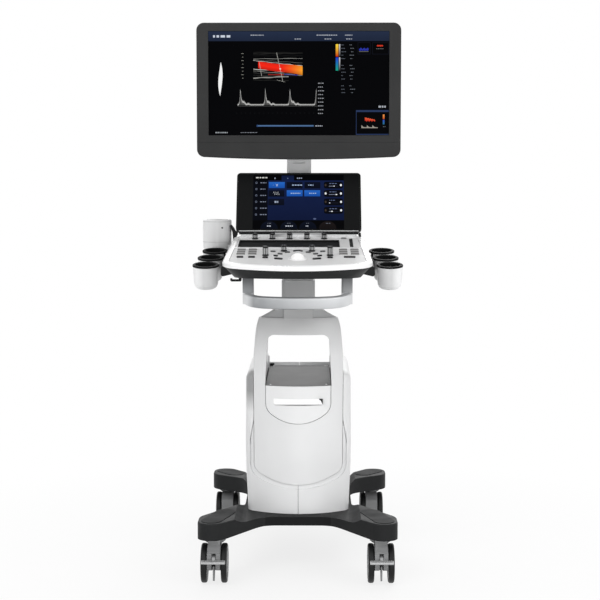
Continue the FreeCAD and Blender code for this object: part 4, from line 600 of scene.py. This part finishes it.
# Four beats: v = v0 + sum a exp(-(u - c) / w) after each foot c, filled down to the base line.
def flowTrace(page):
    u = np.linspace(-162.0, 47.0, 260)
    top = np.full_like(u, 3.2)
    for centre in (-154.5, -88.5, -23.5, 46.0):
        gap = u - centre
        top += 45.0 * np.exp(-np.abs(gap) / np.where(gap >= 0, 2.8, 1.4))
        top += 7.0 * np.exp(-((gap - 9.5) / 4.5) ** 2) + 3.6 * np.exp(-((gap - 21.0) / 3.5) ** 2)
    top += 0.7 * np.sin(u * 1.9) + 0.5 * np.sin(u * 4.7 + 1.0)
    base = 1196.2 + 0.35 * np.sin(u * 2.7)
    inner = base + np.maximum(top - 4.6, 0.0) * 0.92
    grain = (0.80 + 0.12 * np.sin(u * 5.3) * np.sin(u * 1.1 + 0.7))[:, None] * np.array([1.0, 1.0, 0.99])
    band(page, u, inner, base + top, 2, grain, grain * 0.70)
    band(page, u, base, inner + 0.3, 1, grain * 0.30, grain * 0.50)
    block(page, -162.0, 1193.4, 54.0, 1194.0, 1, (0.36, 0.36, 0.36))
    for index in range(9):
        dashes(page, 51.0, 1254.0 - 9.9 * index, 3, 3.6, 2.2, 2, (0.60, 0.61, 0.63), 31 + index)
    blocks(page, [(-165.0 + index * 12.0, 1175.0, -164.0 + index * 12.0, 1176.4) for index in range(18)], 1,
           (0.16, 0.17, 0.18))


# Colour bars, two columns of plain marks, two thumbnails and a small window.
def sideWindows(page):
    for low, high, first, second in ((1323.5, 1356.0, (0.78, 0.08, 0.05), (0.99, 0.86, 0.25)),
                                     (1287.0, 1321.5, (0.10, 0.62, 0.50), (0.12, 0.20, 0.82))):
        block(page, 97.5, low, 104.5, high, 1, first, second)
        block(page, 106.0, low, 109.5, high, 1, (0.12, 0.12, 0.13), (0.82, 0.82, 0.84))
    for index in range(15):
        if index in (5, 11):
            continue
        v = 1354.0 - 8.9 * index
        dashes(page, 112.5, v, 2 + index % 3, 2.2, 1.7, 1, (0.36, 0.38, 0.42), 51 + index)
        dashes(page, 134.0 + 2 * (index % 3), v, 2 + index % 2, 2.6, 1.7, 1, (0.42, 0.44, 0.47), 71 + index)
    for u0, v0, u1, v1 in ((155.5, 1329.5, 189.0, 1360.5), (194.0, 1329.5, 237.0, 1360.5)):
        block(page, u0, v0, u1, v1, 1, (0.075, 0.085, 0.13))
        block(page, u0 + 1.0, v0 + 1.0, u1 - 1.0, v1 - 1.0, 2, black)
    u = np.linspace(159.0, 184.0, 14)
    band(page, u, 1339.0 + np.sin(u), 1345.0 + 1.6 * np.sin(u * 0.7), 3, (0.16, 0.20, 0.62))
    block(page, 159.0, 1336.0, 184.0, 1337.4, 3, (0.42, 0.42, 0.40))
    u = np.linspace(206.0, 222.0, 10)
    band(page, u, 1350.0 - 0.5 * np.sin(u), 1353.6 + 0.5 * np.sin(u * 1.7), 3, (0.82, 0.22, 0.14))
    dashes(page, 204.0, 1344.0, 4, 3.4, 1.4, 3, (0.45, 0.46, 0.46), 91)
    dashes(page, 211.0, 1192.5, 3, 4.4, 5.0, 1, (0.66, 0.68, 0.71), 93)
    block(page, 151.5, 1118.5, 238.0, 1183.5, 1, (0.16, 0.22, 0.36))
    block(page, 153.0, 1121.0, 238.0, 1178.5, 2, black)
    u = np.linspace(175.0, 202.0, 30)
    band(page, u, 1154.5 + 1.2 * np.sin(u * 0.9), 1164.0 - 0.22 * (u - 175.0) + 0.8 * np.sin(u * 1.3), 3,
         (0.72, 0.16, 0.12), (0.92, 0.36, 0.22))
    u = np.linspace(166.0, 209.0, 60)
    rise = 6.0 * np.exp(-np.abs(((u - 166.0) % 14.5) - 1.0) / 2.4)
    band(page, u, 1136.2, 1138.4 + rise, 3, (0.62, 0.60, 0.56))
    block(page, 222.5, 1160.0, 227.0, 1172.0, 3, (0.75, 0.30, 0.12), (0.95, 0.60, 0.30))
    block(page, 222.5, 1146.0, 227.0, 1158.0, 3, (0.15, 0.45, 0.55), (0.20, 0.30, 0.75))
    dashes(page, 223.0, 1140.0, 2, 2.6, 1.6, 3, (0.40, 0.42, 0.44), 97)


# (u, v) to (u, y0 - layer step, v)
def monitorPlace(points, layer):
    depth = np.full(len(points), screenFace - layer * pictureLook["step"])
    return np.stack([points[:, 0] / 1000, depth, points[:, 1] / 1000], -1)


addPicture("monitor_picture", monitorShapes(), monitorPlace, litMaterial("litMonitor", 1.0), "monitor", "screen")
print("monitor picture made")


# A control page in millimetres: u to the right from the middle, v up the glass from its lower edge.
def touchShapes():
    page = []
    left, right = -120.0, 120.0
    darkKey, brightKey, brightTop = (0.030, 0.045, 0.095), (0.085, 0.300, 0.640), (0.150, 0.400, 0.760)
    soft = (0.62, 0.66, 0.74)
    block(page, left, 12.5, right, 164.0, 0, (0.010, 0.011, 0.016))
    block(page, -81.0, 37.0, right, 147.5, 1, (0.052, 0.090, 0.210), (0.075, 0.125, 0.275))
    block(page, -45.0, 147.5, -12.0, 161.5, 1, (0.070, 0.120, 0.265), (0.060, 0.100, 0.220))
    block(page, left, 37.0, -81.5, 147.5, 1, (0.022, 0.030, 0.060))
    dashes(page, -113.0, 155.5, 4, 5.0, 3.4, 2, (0.82, 0.82, 0.80), 101)
    oval(page, -62.5, 153.5, 1.5, 2.2, 2, soft)
    oval(page, -28.5, 153.5, 1.3, 1.6, 2, (0.42, 0.48, 0.60))
    dashes(page, -4.0, 154.0, 3, 4.2, 3.0, 2, soft, 103)
    for index in range(6):
        v = 141.0 - 17.7 * index
        oval(page, -111.5, v, 2.6, 2.8, 2, (0.40, 0.43, 0.50), 2.4)
        oval(page, -111.5, v, 1.5, 1.6, 3, (0.06, 0.07, 0.11))
        dashes(page, -101.0, v, 3, 3.8, 2.4, 2, (0.50, 0.53, 0.60), 105 + index)
    # buttons: u, v, bright or dark
    for u, v, bright in ((-57.5, 134.5, True), (-10.0, 111.5, True), (36.5, 111.5, True), (-10.5, 134.5, False),
                         (37.0, 134.5, False), (-58.5, 111.5, False), (-58.5, 87.5, False)):
        block(page, u - 21.0, v - 8.6, u + 21.0, v + 8.6, 2, brightKey if bright else darkKey,
              brightTop if bright else (0.045, 0.065, 0.130))
        block(page, u - 21.0, v - 9.2, u + 21.0, v - 8.6, 3, (0.02, 0.03, 0.06))
    dashes(page, -67.0, 134.5, 1, 1.0, 1.0, 4, soft, 120)
    for u0, v0, u1, v1 in ((-60.0, 137.5, -54.5, 131.0), (-54.5, 137.5, -60.0, 131.0)):
        strip(page, [(u0 - 0.5, v0), (u1 - 0.5, v1)], [(u0 + 0.5, v0), (u1 + 0.5, v1)], 4, (0.80, 0.86, 0.95))
    u = np.linspace(-66.5, -50.5, 40)
    loop = 111.5 + 3.6 * np.sin((u + 66.5) * 1.15)
    band(page, u, loop - 0.7, loop + 0.7, 4, (0.85, 0.86, 0.88))
    dashes(page, -63.0, 87.5, 2, 4.0, 5.4, 4, soft, 122)
    for u, v, seed in ((-17.0, 134.5, 124), (26.0, 134.5, 126), (-20.5, 111.5, 128), (28.5, 111.5, 130)):
        dashes(page, u, v, 3 + seed % 3, 4.0, 2.6, 4, (0.66, 0.74, 0.86), seed)
    # sliders with a knob at each end
    for index, lit in enumerate((False, True, False, False)):
        v = 134.5 - 23.4 * index
        oval(page, 92.5, v, 25.0, 9.6, 2, (0.022, 0.028, 0.055), 6.0, 25)
        oval(page, 112.5, v, 2.6, 3.2, 3, (0.94, 0.95, 0.96))
        oval(page, 72.0, v, 2.6, 3.2, 3, (0.90, 0.91, 0.92) if lit else (0.24, 0.20, 0.17))
        dashes(page, 82.0, v + 4.4, 3, 4.4, 1.8, 3, (0.40, 0.46, 0.60), 140 + index)
        block(page, 80.5, v - 3.6, 105.5, v - 2.4, 3, (0.13, 0.14, 0.20))
        handle = 82.5 + 6.0 * ((index + 2) % 4)
        block(page, 80.5, v - 3.6, handle, v - 2.4, 4, (0.55, 0.58, 0.66))
        oval(page, handle, v - 3.0, 2.4 if lit or index == 3 else 1.4, 1.5, 5, (0.92, 0.93, 0.94))
    oval(page, 43.0, 40.8, 4.0, 2.4, 2, (0.32, 0.37, 0.50))
    # domes along the foot
    for index, centre in enumerate((-76.5, -25.0, 25.0, 77.0)):
        x = np.linspace(-1.0, 1.0, 27)
        top = 13.0 + 21.5 * np.sqrt((1 - x ** 2).clip(0))
        tone = (0.105, 0.085, 0.085) if index == 3 else (0.040, 0.062, 0.120)
        band(page, centre + 23.0 * x, 12.9, top, 1, tuple(c * 0.7 for c in tone), tone)
        dashes(page, centre - 4.5, 28.5, 2, 4.0, 1.5, 2, (0.40, 0.42, 0.46), 150 + index)
        if index < 3:
            dashes(page, centre - 8.5 + 3.0 * (index != 1), 21.0, 4 if index == 1 else 2, 3.8, 3.0, 2,
                   (0.74, 0.76, 0.80), 160 + index)
    return page


touchLean = math.radians(28.9)
touchEdge = (0.022, 0.864)
# the page is widened and drawn out over the glass: its foot line stands footAt up the glass, in millimetres
pageFit = {"wider": 1.01, "shift": -1.0, "taller": 1.083, "foot": 12.9, "footAt": 7.2, "lift": 0.00015}


# u, v up the leaning glass and n off its plane: y = y0 + n cos a + v sin a, z = z0 - n sin a + v cos a
def onGlass(u, v, n):
    c, s = math.cos(touchLean), math.sin(touchLean)
    return np.stack([u, touchEdge[0] + n * c + v * s, touchEdge[1] - n * s + v * c], -1)


def touchPlace(points, layer):
    u = points[:, 0] * pageFit["wider"] + pageFit["shift"]
    v = pageFit["footAt"] + (points[:, 1] - pageFit["foot"]) * pageFit["taller"]
    return onGlass(u / 1000, v / 1000, pageFit["lift"] - layer * pictureLook["step"])


addPicture("touch_picture", touchShapes(), touchPlace, litMaterial("litTouch", 1.0), "touch_panel", "touch_glass")
print("touch picture made")


# Knob grips and caps

knobDress = {
    "outer": 0.0072, "flutes": 10, "fluteDepth": 0.00080, "deckTop": -0.002, "steps": 176, "capSteps": 40,
    # name: x, run from the rear edge, height
    "places": {
        **{"knob_rear_%d" % (i + 1): (-0.113 + 0.045 * i, -0.030, 0.0155) for i in range(5)},
        "knob_tall_left": (-0.0795, -0.236, 0.024), "knob_tall_right": (0.0795, -0.236, 0.024),
        "knob_short_left": (-0.035, -0.184, 0.016), "knob_short_right": (0.035, -0.184, 0.016),
    },
}


# Painted highlights and shade: bright ridges with dark grooves between them, by the piece's own groove value
def grooveShadeAndHighlight(graph, body):
    groove = graph.node("Attribute", attribute_name="groove").outputs["Fac"]
    return graph.mixed(graph.ranged(groove, 0.30, 0.62), body, grey(0.07))


gripMaterial = finish("finish_grip", paint(0.78, 0.32, metal=0.35, wear=0.3, edgeTone=grey(0.80), edge=0.0003,
                                           stretch=(1.0, 1.0, 0.1)), grooveShadeAndHighlight)
capMaterial = finish("finish_cap", paint(0.30, 0.30, metal=0.4, wear=0.3, edge=0.0002))


# Ribbed sleeve with its groove value, (1 - cos(flutes t)) / 2 and 1 at both rims, which places its painted shade and
# highlights, and a thin cap on top
def addKnobDress(outer, flutes, fluteDepth, deckTop, steps, capSteps, places):
    turn = np.linspace(0.0, 2 * math.pi, steps, endpoint=False)
    groove = np.array([[1.0], [0.0], [0.0], [1.0]]) + (1 - np.cos(flutes * turn)) / 2
    for name, (x, run, height) in places.items():
        base = np.array([x, run, deckTop])
        sleeve = [(outer - 0.0011, 0.0042, 0), (outer + 0.0001, 0.0046, 1), (outer + 0.0001, height - 0.0044, 1),
                  (outer - 0.0011, height - 0.0040, 0)]
        grid = onConsole(lathe(sleeve, steps, flutes, fluteDepth) + base)
        grip = addPiece(name + "_grip", grid, gridFaces(4, steps, True), gripMaterial, name, "knob")
        grip.data.attributes.new("groove", "FLOAT", "POINT").data.foreach_set("value", groove.clip(0, 1).ravel())
        cap = [(0.0, height + 0.0003), (outer - 0.0030, height + 0.0003), (outer - 0.0022, height - 0.0002),
               (outer - 0.0022, height - 0.0006), (0.0, height - 0.0006)]
        grid = onConsole(lathe(cap, capSteps) + base)
        addPiece(name + "_cap", grid, gridFaces(5, capSteps, True), capMaterial, name, "knob", weld=1e-6)


addKnobDress(**knobDress)
print("knobs dressed")


# Shapes for the small pieces

cubeCorners = np.array([(x, y, z) for x in (0, 1) for y in (0, 1) for z in (0, 1)], float)
cubeFaces = np.array([(0, 1, 3, 2), (4, 6, 7, 5), (0, 4, 5, 1), (2, 3, 7, 6), (0, 2, 6, 4), (1, 5, 7, 3)])


# Boxes from rows (x0, x1, y0, y1, z0, z1): corner = low + (high - low) * unit corner
def boxShape(rows):
    rows = np.asarray(rows, float)
    low, high = rows[:, 0::2], rows[:, 1::2]
    points = low[:, None] + (high - low)[:, None] * cubeCorners
    faces = cubeFaces + 8 * np.arange(len(rows))[:, None, None]
    return points.reshape(-1, 3), faces.reshape(-1, 4)


# Turns a shape that stands on the plane z = 0 so that z becomes the normal, and moves it to each place
def setOut(grid, places, normal):
    normal = np.asarray(normal, float) / np.linalg.norm(normal)
    helper = np.array([1.0, 0.0, 0.0]) if abs(normal[0]) < 0.9 else np.array([0.0, 1.0, 0.0])
    across = np.cross(helper, normal)
    across = across / np.linalg.norm(across)
    basis = np.stack([np.cross(across, normal), across, normal])
    turned = np.asarray(grid).reshape(-1, 3) @ basis
    return (np.asarray(places, float)[:, None] + turned[None]).reshape(-1, 3)


# One mesh of the same turned shape at several places
def addTurned(name, profile, steps, places, normal, material, body, slotName):
    grid = lathe(profile, steps)
    faces = gridFaces(len(profile), steps, True)
    count = len(profile) * steps
    faces = (faces + count * np.arange(len(places))[:, None, None]).reshape(-1, 4)
    return addPiece(name, setOut(grid, places, normal), faces, material, body, slotName, weld=1e-6)


# Closed outline pushed along one axis (0 is X, 1 is Y) from low to high, with both ends closed
def extruded(outline, axis, low, high):
    outline = np.asarray(outline, float)
    count = len(outline)
    points = np.concatenate([np.insert(outline, axis, level, axis=1) for level in (low, high)])
    ends = [list(range(count)), list(range(count, 2 * count))]
    return points, [list(face) for face in gridFaces(2, count, True)] + ends


def soften(piece, width):
    bevel = piece.modifiers.new("soften", "BEVEL")
    bevel.width = width
    bevel.segments = 2


# Screws, each group on its own face

screwMaterial = finish("finish_screw", paint(0.74, 0.28, metal=0.9, wear=0.5, edge=0.0002))
screwDress = {
    "profile": [(0.0, 0.0004), (0.0012, 0.0004), (0.0014, 0.0011), (0.0022, 0.0012), (0.0029, 0.0006),
                (0.0030, 0.0), (0.0, 0.0)],
    # name: places, normal, body, slot
    "groups": {
        "shelf": ([(x, y, 0.470) for x in (-0.073, 0.073) for y in (-0.072, 0.290)], (0, 0, 1), "cart",
                  "shelf_steel"),
        "monitor_boss": ([(x, 0.112, 1.2165 + z) for x in (-0.093, 0.093) for z in (-0.068, 0.068)], (0, 1, 0),
                         "monitor", "monitor_shell"),
        "monitor_plate": ([(x, 0.118, 1.2165 + z) for x in (-0.046, 0.046) for z in (-0.046, 0.046)], (0, 1, 0),
                          "monitor", "bracket"),
        "rear_cover": ([(x, 0.321, z) for x in (-0.088, 0.088) for z in (0.188, 0.345, 0.452)], (0, 1, 0), "cart",
                       "rear_panel"),
        "inlet": ([(x, 0.3233, 0.202) for x in (-0.0795, -0.0305)], (0, 1, 0), "cart", "inlet"),
        "console_floor": ([(x, y, 0.764) for x in (-0.095, 0.095) for y in (-0.250, -0.130, -0.020)], (0, 0, -1),
                          "console", "lower_shell"),
    },
}
for group, (places, normal, *rides) in screwDress["groups"].items():
    addTurned("screws_" + group, screwDress["profile"], 18, places, normal, screwMaterial, *rides)
print("screws set")


# Casters: a ribbed plate in the dish of each wheel, and a ribbed rubber on each pedal

hubDress = {"inner": 0.0140, "outer": 0.0352, "plane": 0.0296, "base": 0.0004, "relief": 0.0016, "spokes": 6,
            "rows": 15, "steps": 144}
hubMaterial = finish("finish_hub", paint(0.66, 0.40, specular=0.3, wear=0.4))
pedalDress = {"half": 0.0265, "front": -0.0860, "back": -0.0725, "level": 0.0695, "ribs": 9, "height": 0.0008,
              "foot": 0.0001, "shift": 0.018}
treadMaterial = finish("finish_pedal_rubber", paint(0.60, 0.6, specular=0.2, grain=800.0))


# Ring plate with raised spokes: h = base + relief cos(n t / 2) ^ 6 sin(pi s) ^ 0.7, s from inner to outer radius
def hubGrid(values):
    share = np.linspace(0.0, 1.0, values["rows"])[:, None]
    turn = np.linspace(0.0, 2 * math.pi, values["steps"], endpoint=False)[None]
    radius = values["inner"] + (values["outer"] - values["inner"]) * share + 0 * turn
    spokes = np.cos(values["spokes"] * turn / 2) ** 6
    height = values["base"] + values["relief"] * spokes * np.sin(math.pi * share) ** 0.7
    top = np.stack([radius * np.cos(turn), radius * np.sin(turn), height], -1)
    foot = top[[-1, 0]] * np.array([1.0, 1.0, 0.0])
    return np.concatenate([foot[1:], top, foot[:1], foot[1:]])


# Corrugated sheet closed underneath: z = level + h * sin(pi * ribs * s)^2 over the tread
def treadGrid(at, half, front, back, level, ribs, height, foot, shift):
    share = np.linspace(0.0, 1.0, 10 * ribs + 1)
    x = half * (2 * share - 1) + at[0]
    high = level + foot + height * np.sin(math.pi * ribs * share) ** 2
    rows = [(front, level), (front, high), (back, high), (back, level), (front, level)]
    return np.stack([np.stack([x, 0 * x + (y + (at[1] + shift)), 0 * x + z], -1) for y, z in rows])


# Hood of the fork over its slot: a (y, z) line from the axle's middle, thickened inwards
guardDress = {"half": 0.0148, "thickness": 0.0014,
              "line": [(-0.0122, 0.0632), (-0.0150, 0.0570), (-0.0185, 0.0515), (-0.0214, 0.0488), (-0.0264, 0.0459),
                       (-0.0305, 0.0430), (-0.0343, 0.0400), (-0.0381, 0.0370), (-0.0406, 0.0340)]}


# paler towards its top: painted light over the shade that the base casts on it
guardMaterial = finish("finish_guard", looks["caster_fork"], fades((upwards, 0.088, 0.110, grey(0.700))))


def addGuard(name, at, half, thickness, line):
    along = np.gradient(np.array(line), axis=0)
    inwards = np.stack([-along[:, 1], along[:, 0]], -1) / np.linalg.norm(along, axis=1)[:, None]
    outline = np.concatenate([line, (line + thickness * inwards)[::-1]]) + np.array(at[1:])
    shape = extruded(outline, 0, at[0] - half, at[0] + half)
    soften(addPiece(name + "_guard", *shape, guardMaterial, name, "caster_fork"), 0.0004)


for name, (x, y, z) in casterPlaces.items():
    grid = hubGrid(hubDress)
    faces = gridFaces(len(grid), hubDress["steps"], True)
    for word, side in (("outer", math.copysign(1.0, x)), ("inner", -math.copysign(1.0, x))):
        points = setOut(grid, [(x + side * hubDress["plane"], y, z)], (side, 0, 0))
        addPiece(name + "_hub_" + word, points, faces, hubMaterial, name + "_wheels", "caster_wheel", weld=1e-6)
    if "front" in name:
        addGuard(name, (x, y, z), **guardDress)
        sheet = treadGrid((x, y), **pedalDress)
        rows, columns = sheet.shape[:2]
        ends = [[row * columns + column for row in range(4)] for column in (0, columns - 1)]
        faces = [list(face) for face in gridFaces(rows, columns)] + ends
        addPiece(name + "_pedal_rubber", sheet, faces, treadMaterial, name + "_pedal", "caster_pedal", weld=1e-6)
print("casters dressed")


# Gel warmer: grey inner sleeve, seam ring and a small dark sensor window

warmerDress = {"centre": (-0.214, 0.012), "outer": 0.0375, "bore": 0.0280, "top": 0.896, "floor": 0.827,
               "seams": (0.8375, 0.8905), "sensor": (0.0150, 0.875),
               # (r, z) rings: of a seam on the outer wall, and of the sensor's window
               "seamRing": [(-0.0004, -0.0004), (0.00008, -0.0004), (0.00008, 0.0004), (-0.0004, 0.0004),
                            (-0.0004, -0.0004)],
               "window": [(0.0, 0.0006), (0.0017, 0.0005), (0.0023, 0.0), (0.0023, -0.0009), (0.0, -0.0009)]}
sleeveMaterial = finish("finish_sleeve", paint(0.54, 0.4, specular=0.3))
darkMaterial = finish("finish_dark", paint(0.06, 0.45, specular=0.12, grain=1500.0, edgeTone=grey(0.20)))
seamMaterial = finish("finish_seam", paint(0.60, 0.6, specular=0.1))


def addWarmerDress(centre, outer, bore, top, floor, seams, seamRing, sensor, window):
    inner, wall = bore - 0.0014, bore - 0.0002
    sleeve = [(inner, floor), (inner, top - 0.0022), (wall, top - 0.0012), (wall, floor), (inner, floor)]
    upright = [(*centre, 0.0)], (0, 0, 1)
    addTurned("warmer_sleeve", sleeve, 72, *upright, sleeveMaterial, "console", "warmer")
    for index, level in enumerate(seams):
        ring = [(outer + r, level + z) for r, z in seamRing]
        addTurned("warmer_seam_%d" % (index + 1), ring, 96, *upright, seamMaterial, "console", "warmer")
    shift, level = sensor
    depth = math.sqrt(outer ** 2 - shift ** 2)
    place = (centre[0] + shift, centre[1] - depth, level)
    addTurned("warmer_sensor", window, 28, [place], (shift, -depth, 0.0), darkMaterial, "console", "warmer")


addWarmerDress(**warmerDress)


# Under the touch panel: a painted highlight line along its lower edge, dark strips beside the hinge as painted shade in
# its gaps, and dark wings at the corners

edgeDress = {"highlightLine": (0.158, 0.0004, 0.0022, 0.0006), "strip": (0.064, 0.156, -0.0015, 0.0040, 0.8570, 0.8628),
             "lip": (0.064, 0.152, -0.0020, 0.0040, 0.8485, 0.8570),
             "cover": {"half": 0.0635, "middle": -0.0040, "width": 0.0075, "foot": 0.8485, "rise": 0.0090},
             "wings": {"left": [(-0.1590, 0.8640), (-0.1600, 0.8560), (-0.1690, 0.8400), (-0.1725, 0.8410),
                                (-0.1720, 0.8500), (-0.1735, 0.8640), (-0.1790, 0.8800), (-0.1760, 0.8830),
                                (-0.1690, 0.8740), (-0.1650, 0.8660)],
                       "right": [(0.1560, 0.8600), (0.1580, 0.8500), (0.1640, 0.8400), (0.1660, 0.8420),
                                 (0.1640, 0.8520), (0.1630, 0.8620)]},
             "wingDepth": (-0.0100, 0.0080)}
lipMaterial = finish("finish_lip", paint(0.80, 0.40, specular=0.3, edge=0.0003))
highlightLineMaterial = finish("finish_highlight_line", paint(0.84, 0.30, metal=0.2, edge=0.0002))


# Satin metal with a painted highlight along the middle of its length, greyer towards both ends
fromPaintedHighlight = lambda graph: graph.radius((0.010, 0.0, 0.0), (1.0, 0.0, 0.0))
coverMaterial = finish("finish_hinge_cover", paint(0.80, 0.32, metal=0.3, edge=0.0003, stretch=(0.05, 1.0, 1.0),
                                                   grain=900.0), fades((fromPaintedHighlight, 0.020, 0.066, grey(0.46))))


def addEdgeDress(values):
    # a pale box along the glass's lower edge: a painted highlight
    half, low, high, depth = values["highlightLine"]
    corners = np.array([(u, v, n) for u in (-half, half) for v in (low, high) for n in (-depth, 0.0)])
    addPiece("touch_highlight_line", onGlass(*corners.T), cubeFaces, highlightLineMaterial, "touch_panel", "touch_housing", smooth=False)
    # the dark strips are painted shade in the gaps beside the hinge; the lips are plain
    for word, material in (("strip", darkMaterial), ("lip", lipMaterial)):
        x0, x1, *rest = values[word]
        shape = boxShape([(x0, x1, *rest), (-x1, -x0, *rest)])
        soften(addPiece("edge_%ss" % word, *shape, material, "console", "console_rim", smooth=False), 0.0006)
    cover = values["cover"]
    turn = np.linspace(0.0, math.pi, 25)
    y, z = cover["middle"] + cover["width"] * np.cos(turn), cover["foot"] + cover["rise"] * np.sin(turn)
    shape = extruded(np.stack([y, z], -1), 0, -cover["half"], cover["half"])
    soften(addPiece("hinge_cover", *shape, coverMaterial, "console", "hinge"), 0.0008)
    for word, line in values["wings"].items():
        shape = extruded(line, 1, *values["wingDepth"])
        soften(addPiece("corner_wing_" + word, *shape, darkMaterial, "console", "lower_shell", smooth=False), 0.0008)


addEdgeDress(edgeDress)
print("warmer and touch panel dressed")


# Shelf stop and cutter blade of the paper slot, both dark; a thin joint line across the chin of the bezel

trimDress = {"shelf_stop": ((-0.0845, -0.0720, 0.2960, 0.3035, 0.4700, 0.4770), "cart", "shelf_steel"),
             "chin_line": ((-0.2640, 0.2640, 0.0548, 0.0556, 1.0984, 1.0990), "monitor", "monitor_shell")}
for name, (box, body, slotName) in trimDress.items():
    soften(addPiece(name, *boxShape([box]), darkMaterial, body, slotName, smooth=False), 0.0003)


bladeDress = {"outline": [(0.0535, 0.4378), (0.0635, 0.4378), (0.0632, 0.4235), (0.0605, 0.4290), (0.0580, 0.4345),
                          (0.0550, 0.4362)], "depth": (-0.1130, -0.1020)}
blade = extruded(bladeDress["outline"], 1, *bladeDress["depth"])
soften(addPiece("slot_blade", *blade, darkMaterial, "cart", "white_cover", smooth=False), 0.0003)


# Probe sockets: rows of gilt contacts on both faces of each tongue

contactDress = {"sockets": [0.070 + 0.054 * i for i in range(4)], "columns": (0.01290, 0.02910), "rows": 18,
                "pitch": 0.0024, "middle": 0.378, "depth": (0.1205, 0.1300), "half": 0.0007, "halfWidth": 0.0002}
contactLook = {"colour": (0.86, 0.70, 0.38), "rough": 0.25, "metal": 1.0, "edge": 0.0002}


def addContacts(sockets, columns, rows, pitch, middle, depth, half, halfWidth):
    levels = middle + pitch * (np.arange(rows) - (rows - 1) / 2)
    boxes = [(*depth, low + column - halfWidth, low + column + halfWidth, level - half, level + half)
             for low in sockets for column in columns for level in levels]
    material = finish("finish_contact", contactLook)
    addPiece("socket_contacts", *boxShape(boxes), material, "cart", "ports", smooth=False)


addContacts(**contactDress)
print("shelf and sockets dressed")


# Key marks: a short pale bar on each key of the two blocks

# metres on the keys; half width and half height of a mark in millimetres
markDress = {"columns": (0.113, 0.1415), "rows": (-0.170, -0.195, -0.220), "half": (1.7, 0.35), "rise": 0.00070,
             "tone": (0.44, 0.44, 0.44)}


# The marks lie flat on the keys: (u, v) in millimetres to console x and run
def markPlace(points, layer):
    return onConsole(np.concatenate([points / 1000, np.full((len(points), 1), markDress["rise"])], 1))


for word, side in (("left", -1.0), ("right", 1.0)):
    page, (wide, high) = [], markDress["half"]
    for column in markDress["columns"]:
        for row in markDress["rows"]:
            u, v = 1000 * side * column, 1000 * row
            block(page, u - wide, v - high, u + wide, v + high, 0, markDress["tone"])
    addPicture("key_marks_" + word, page, markPlace, litMaterial("litMarks_" + word, 0.35), "keys_" + word, "key")
print("key marks made")
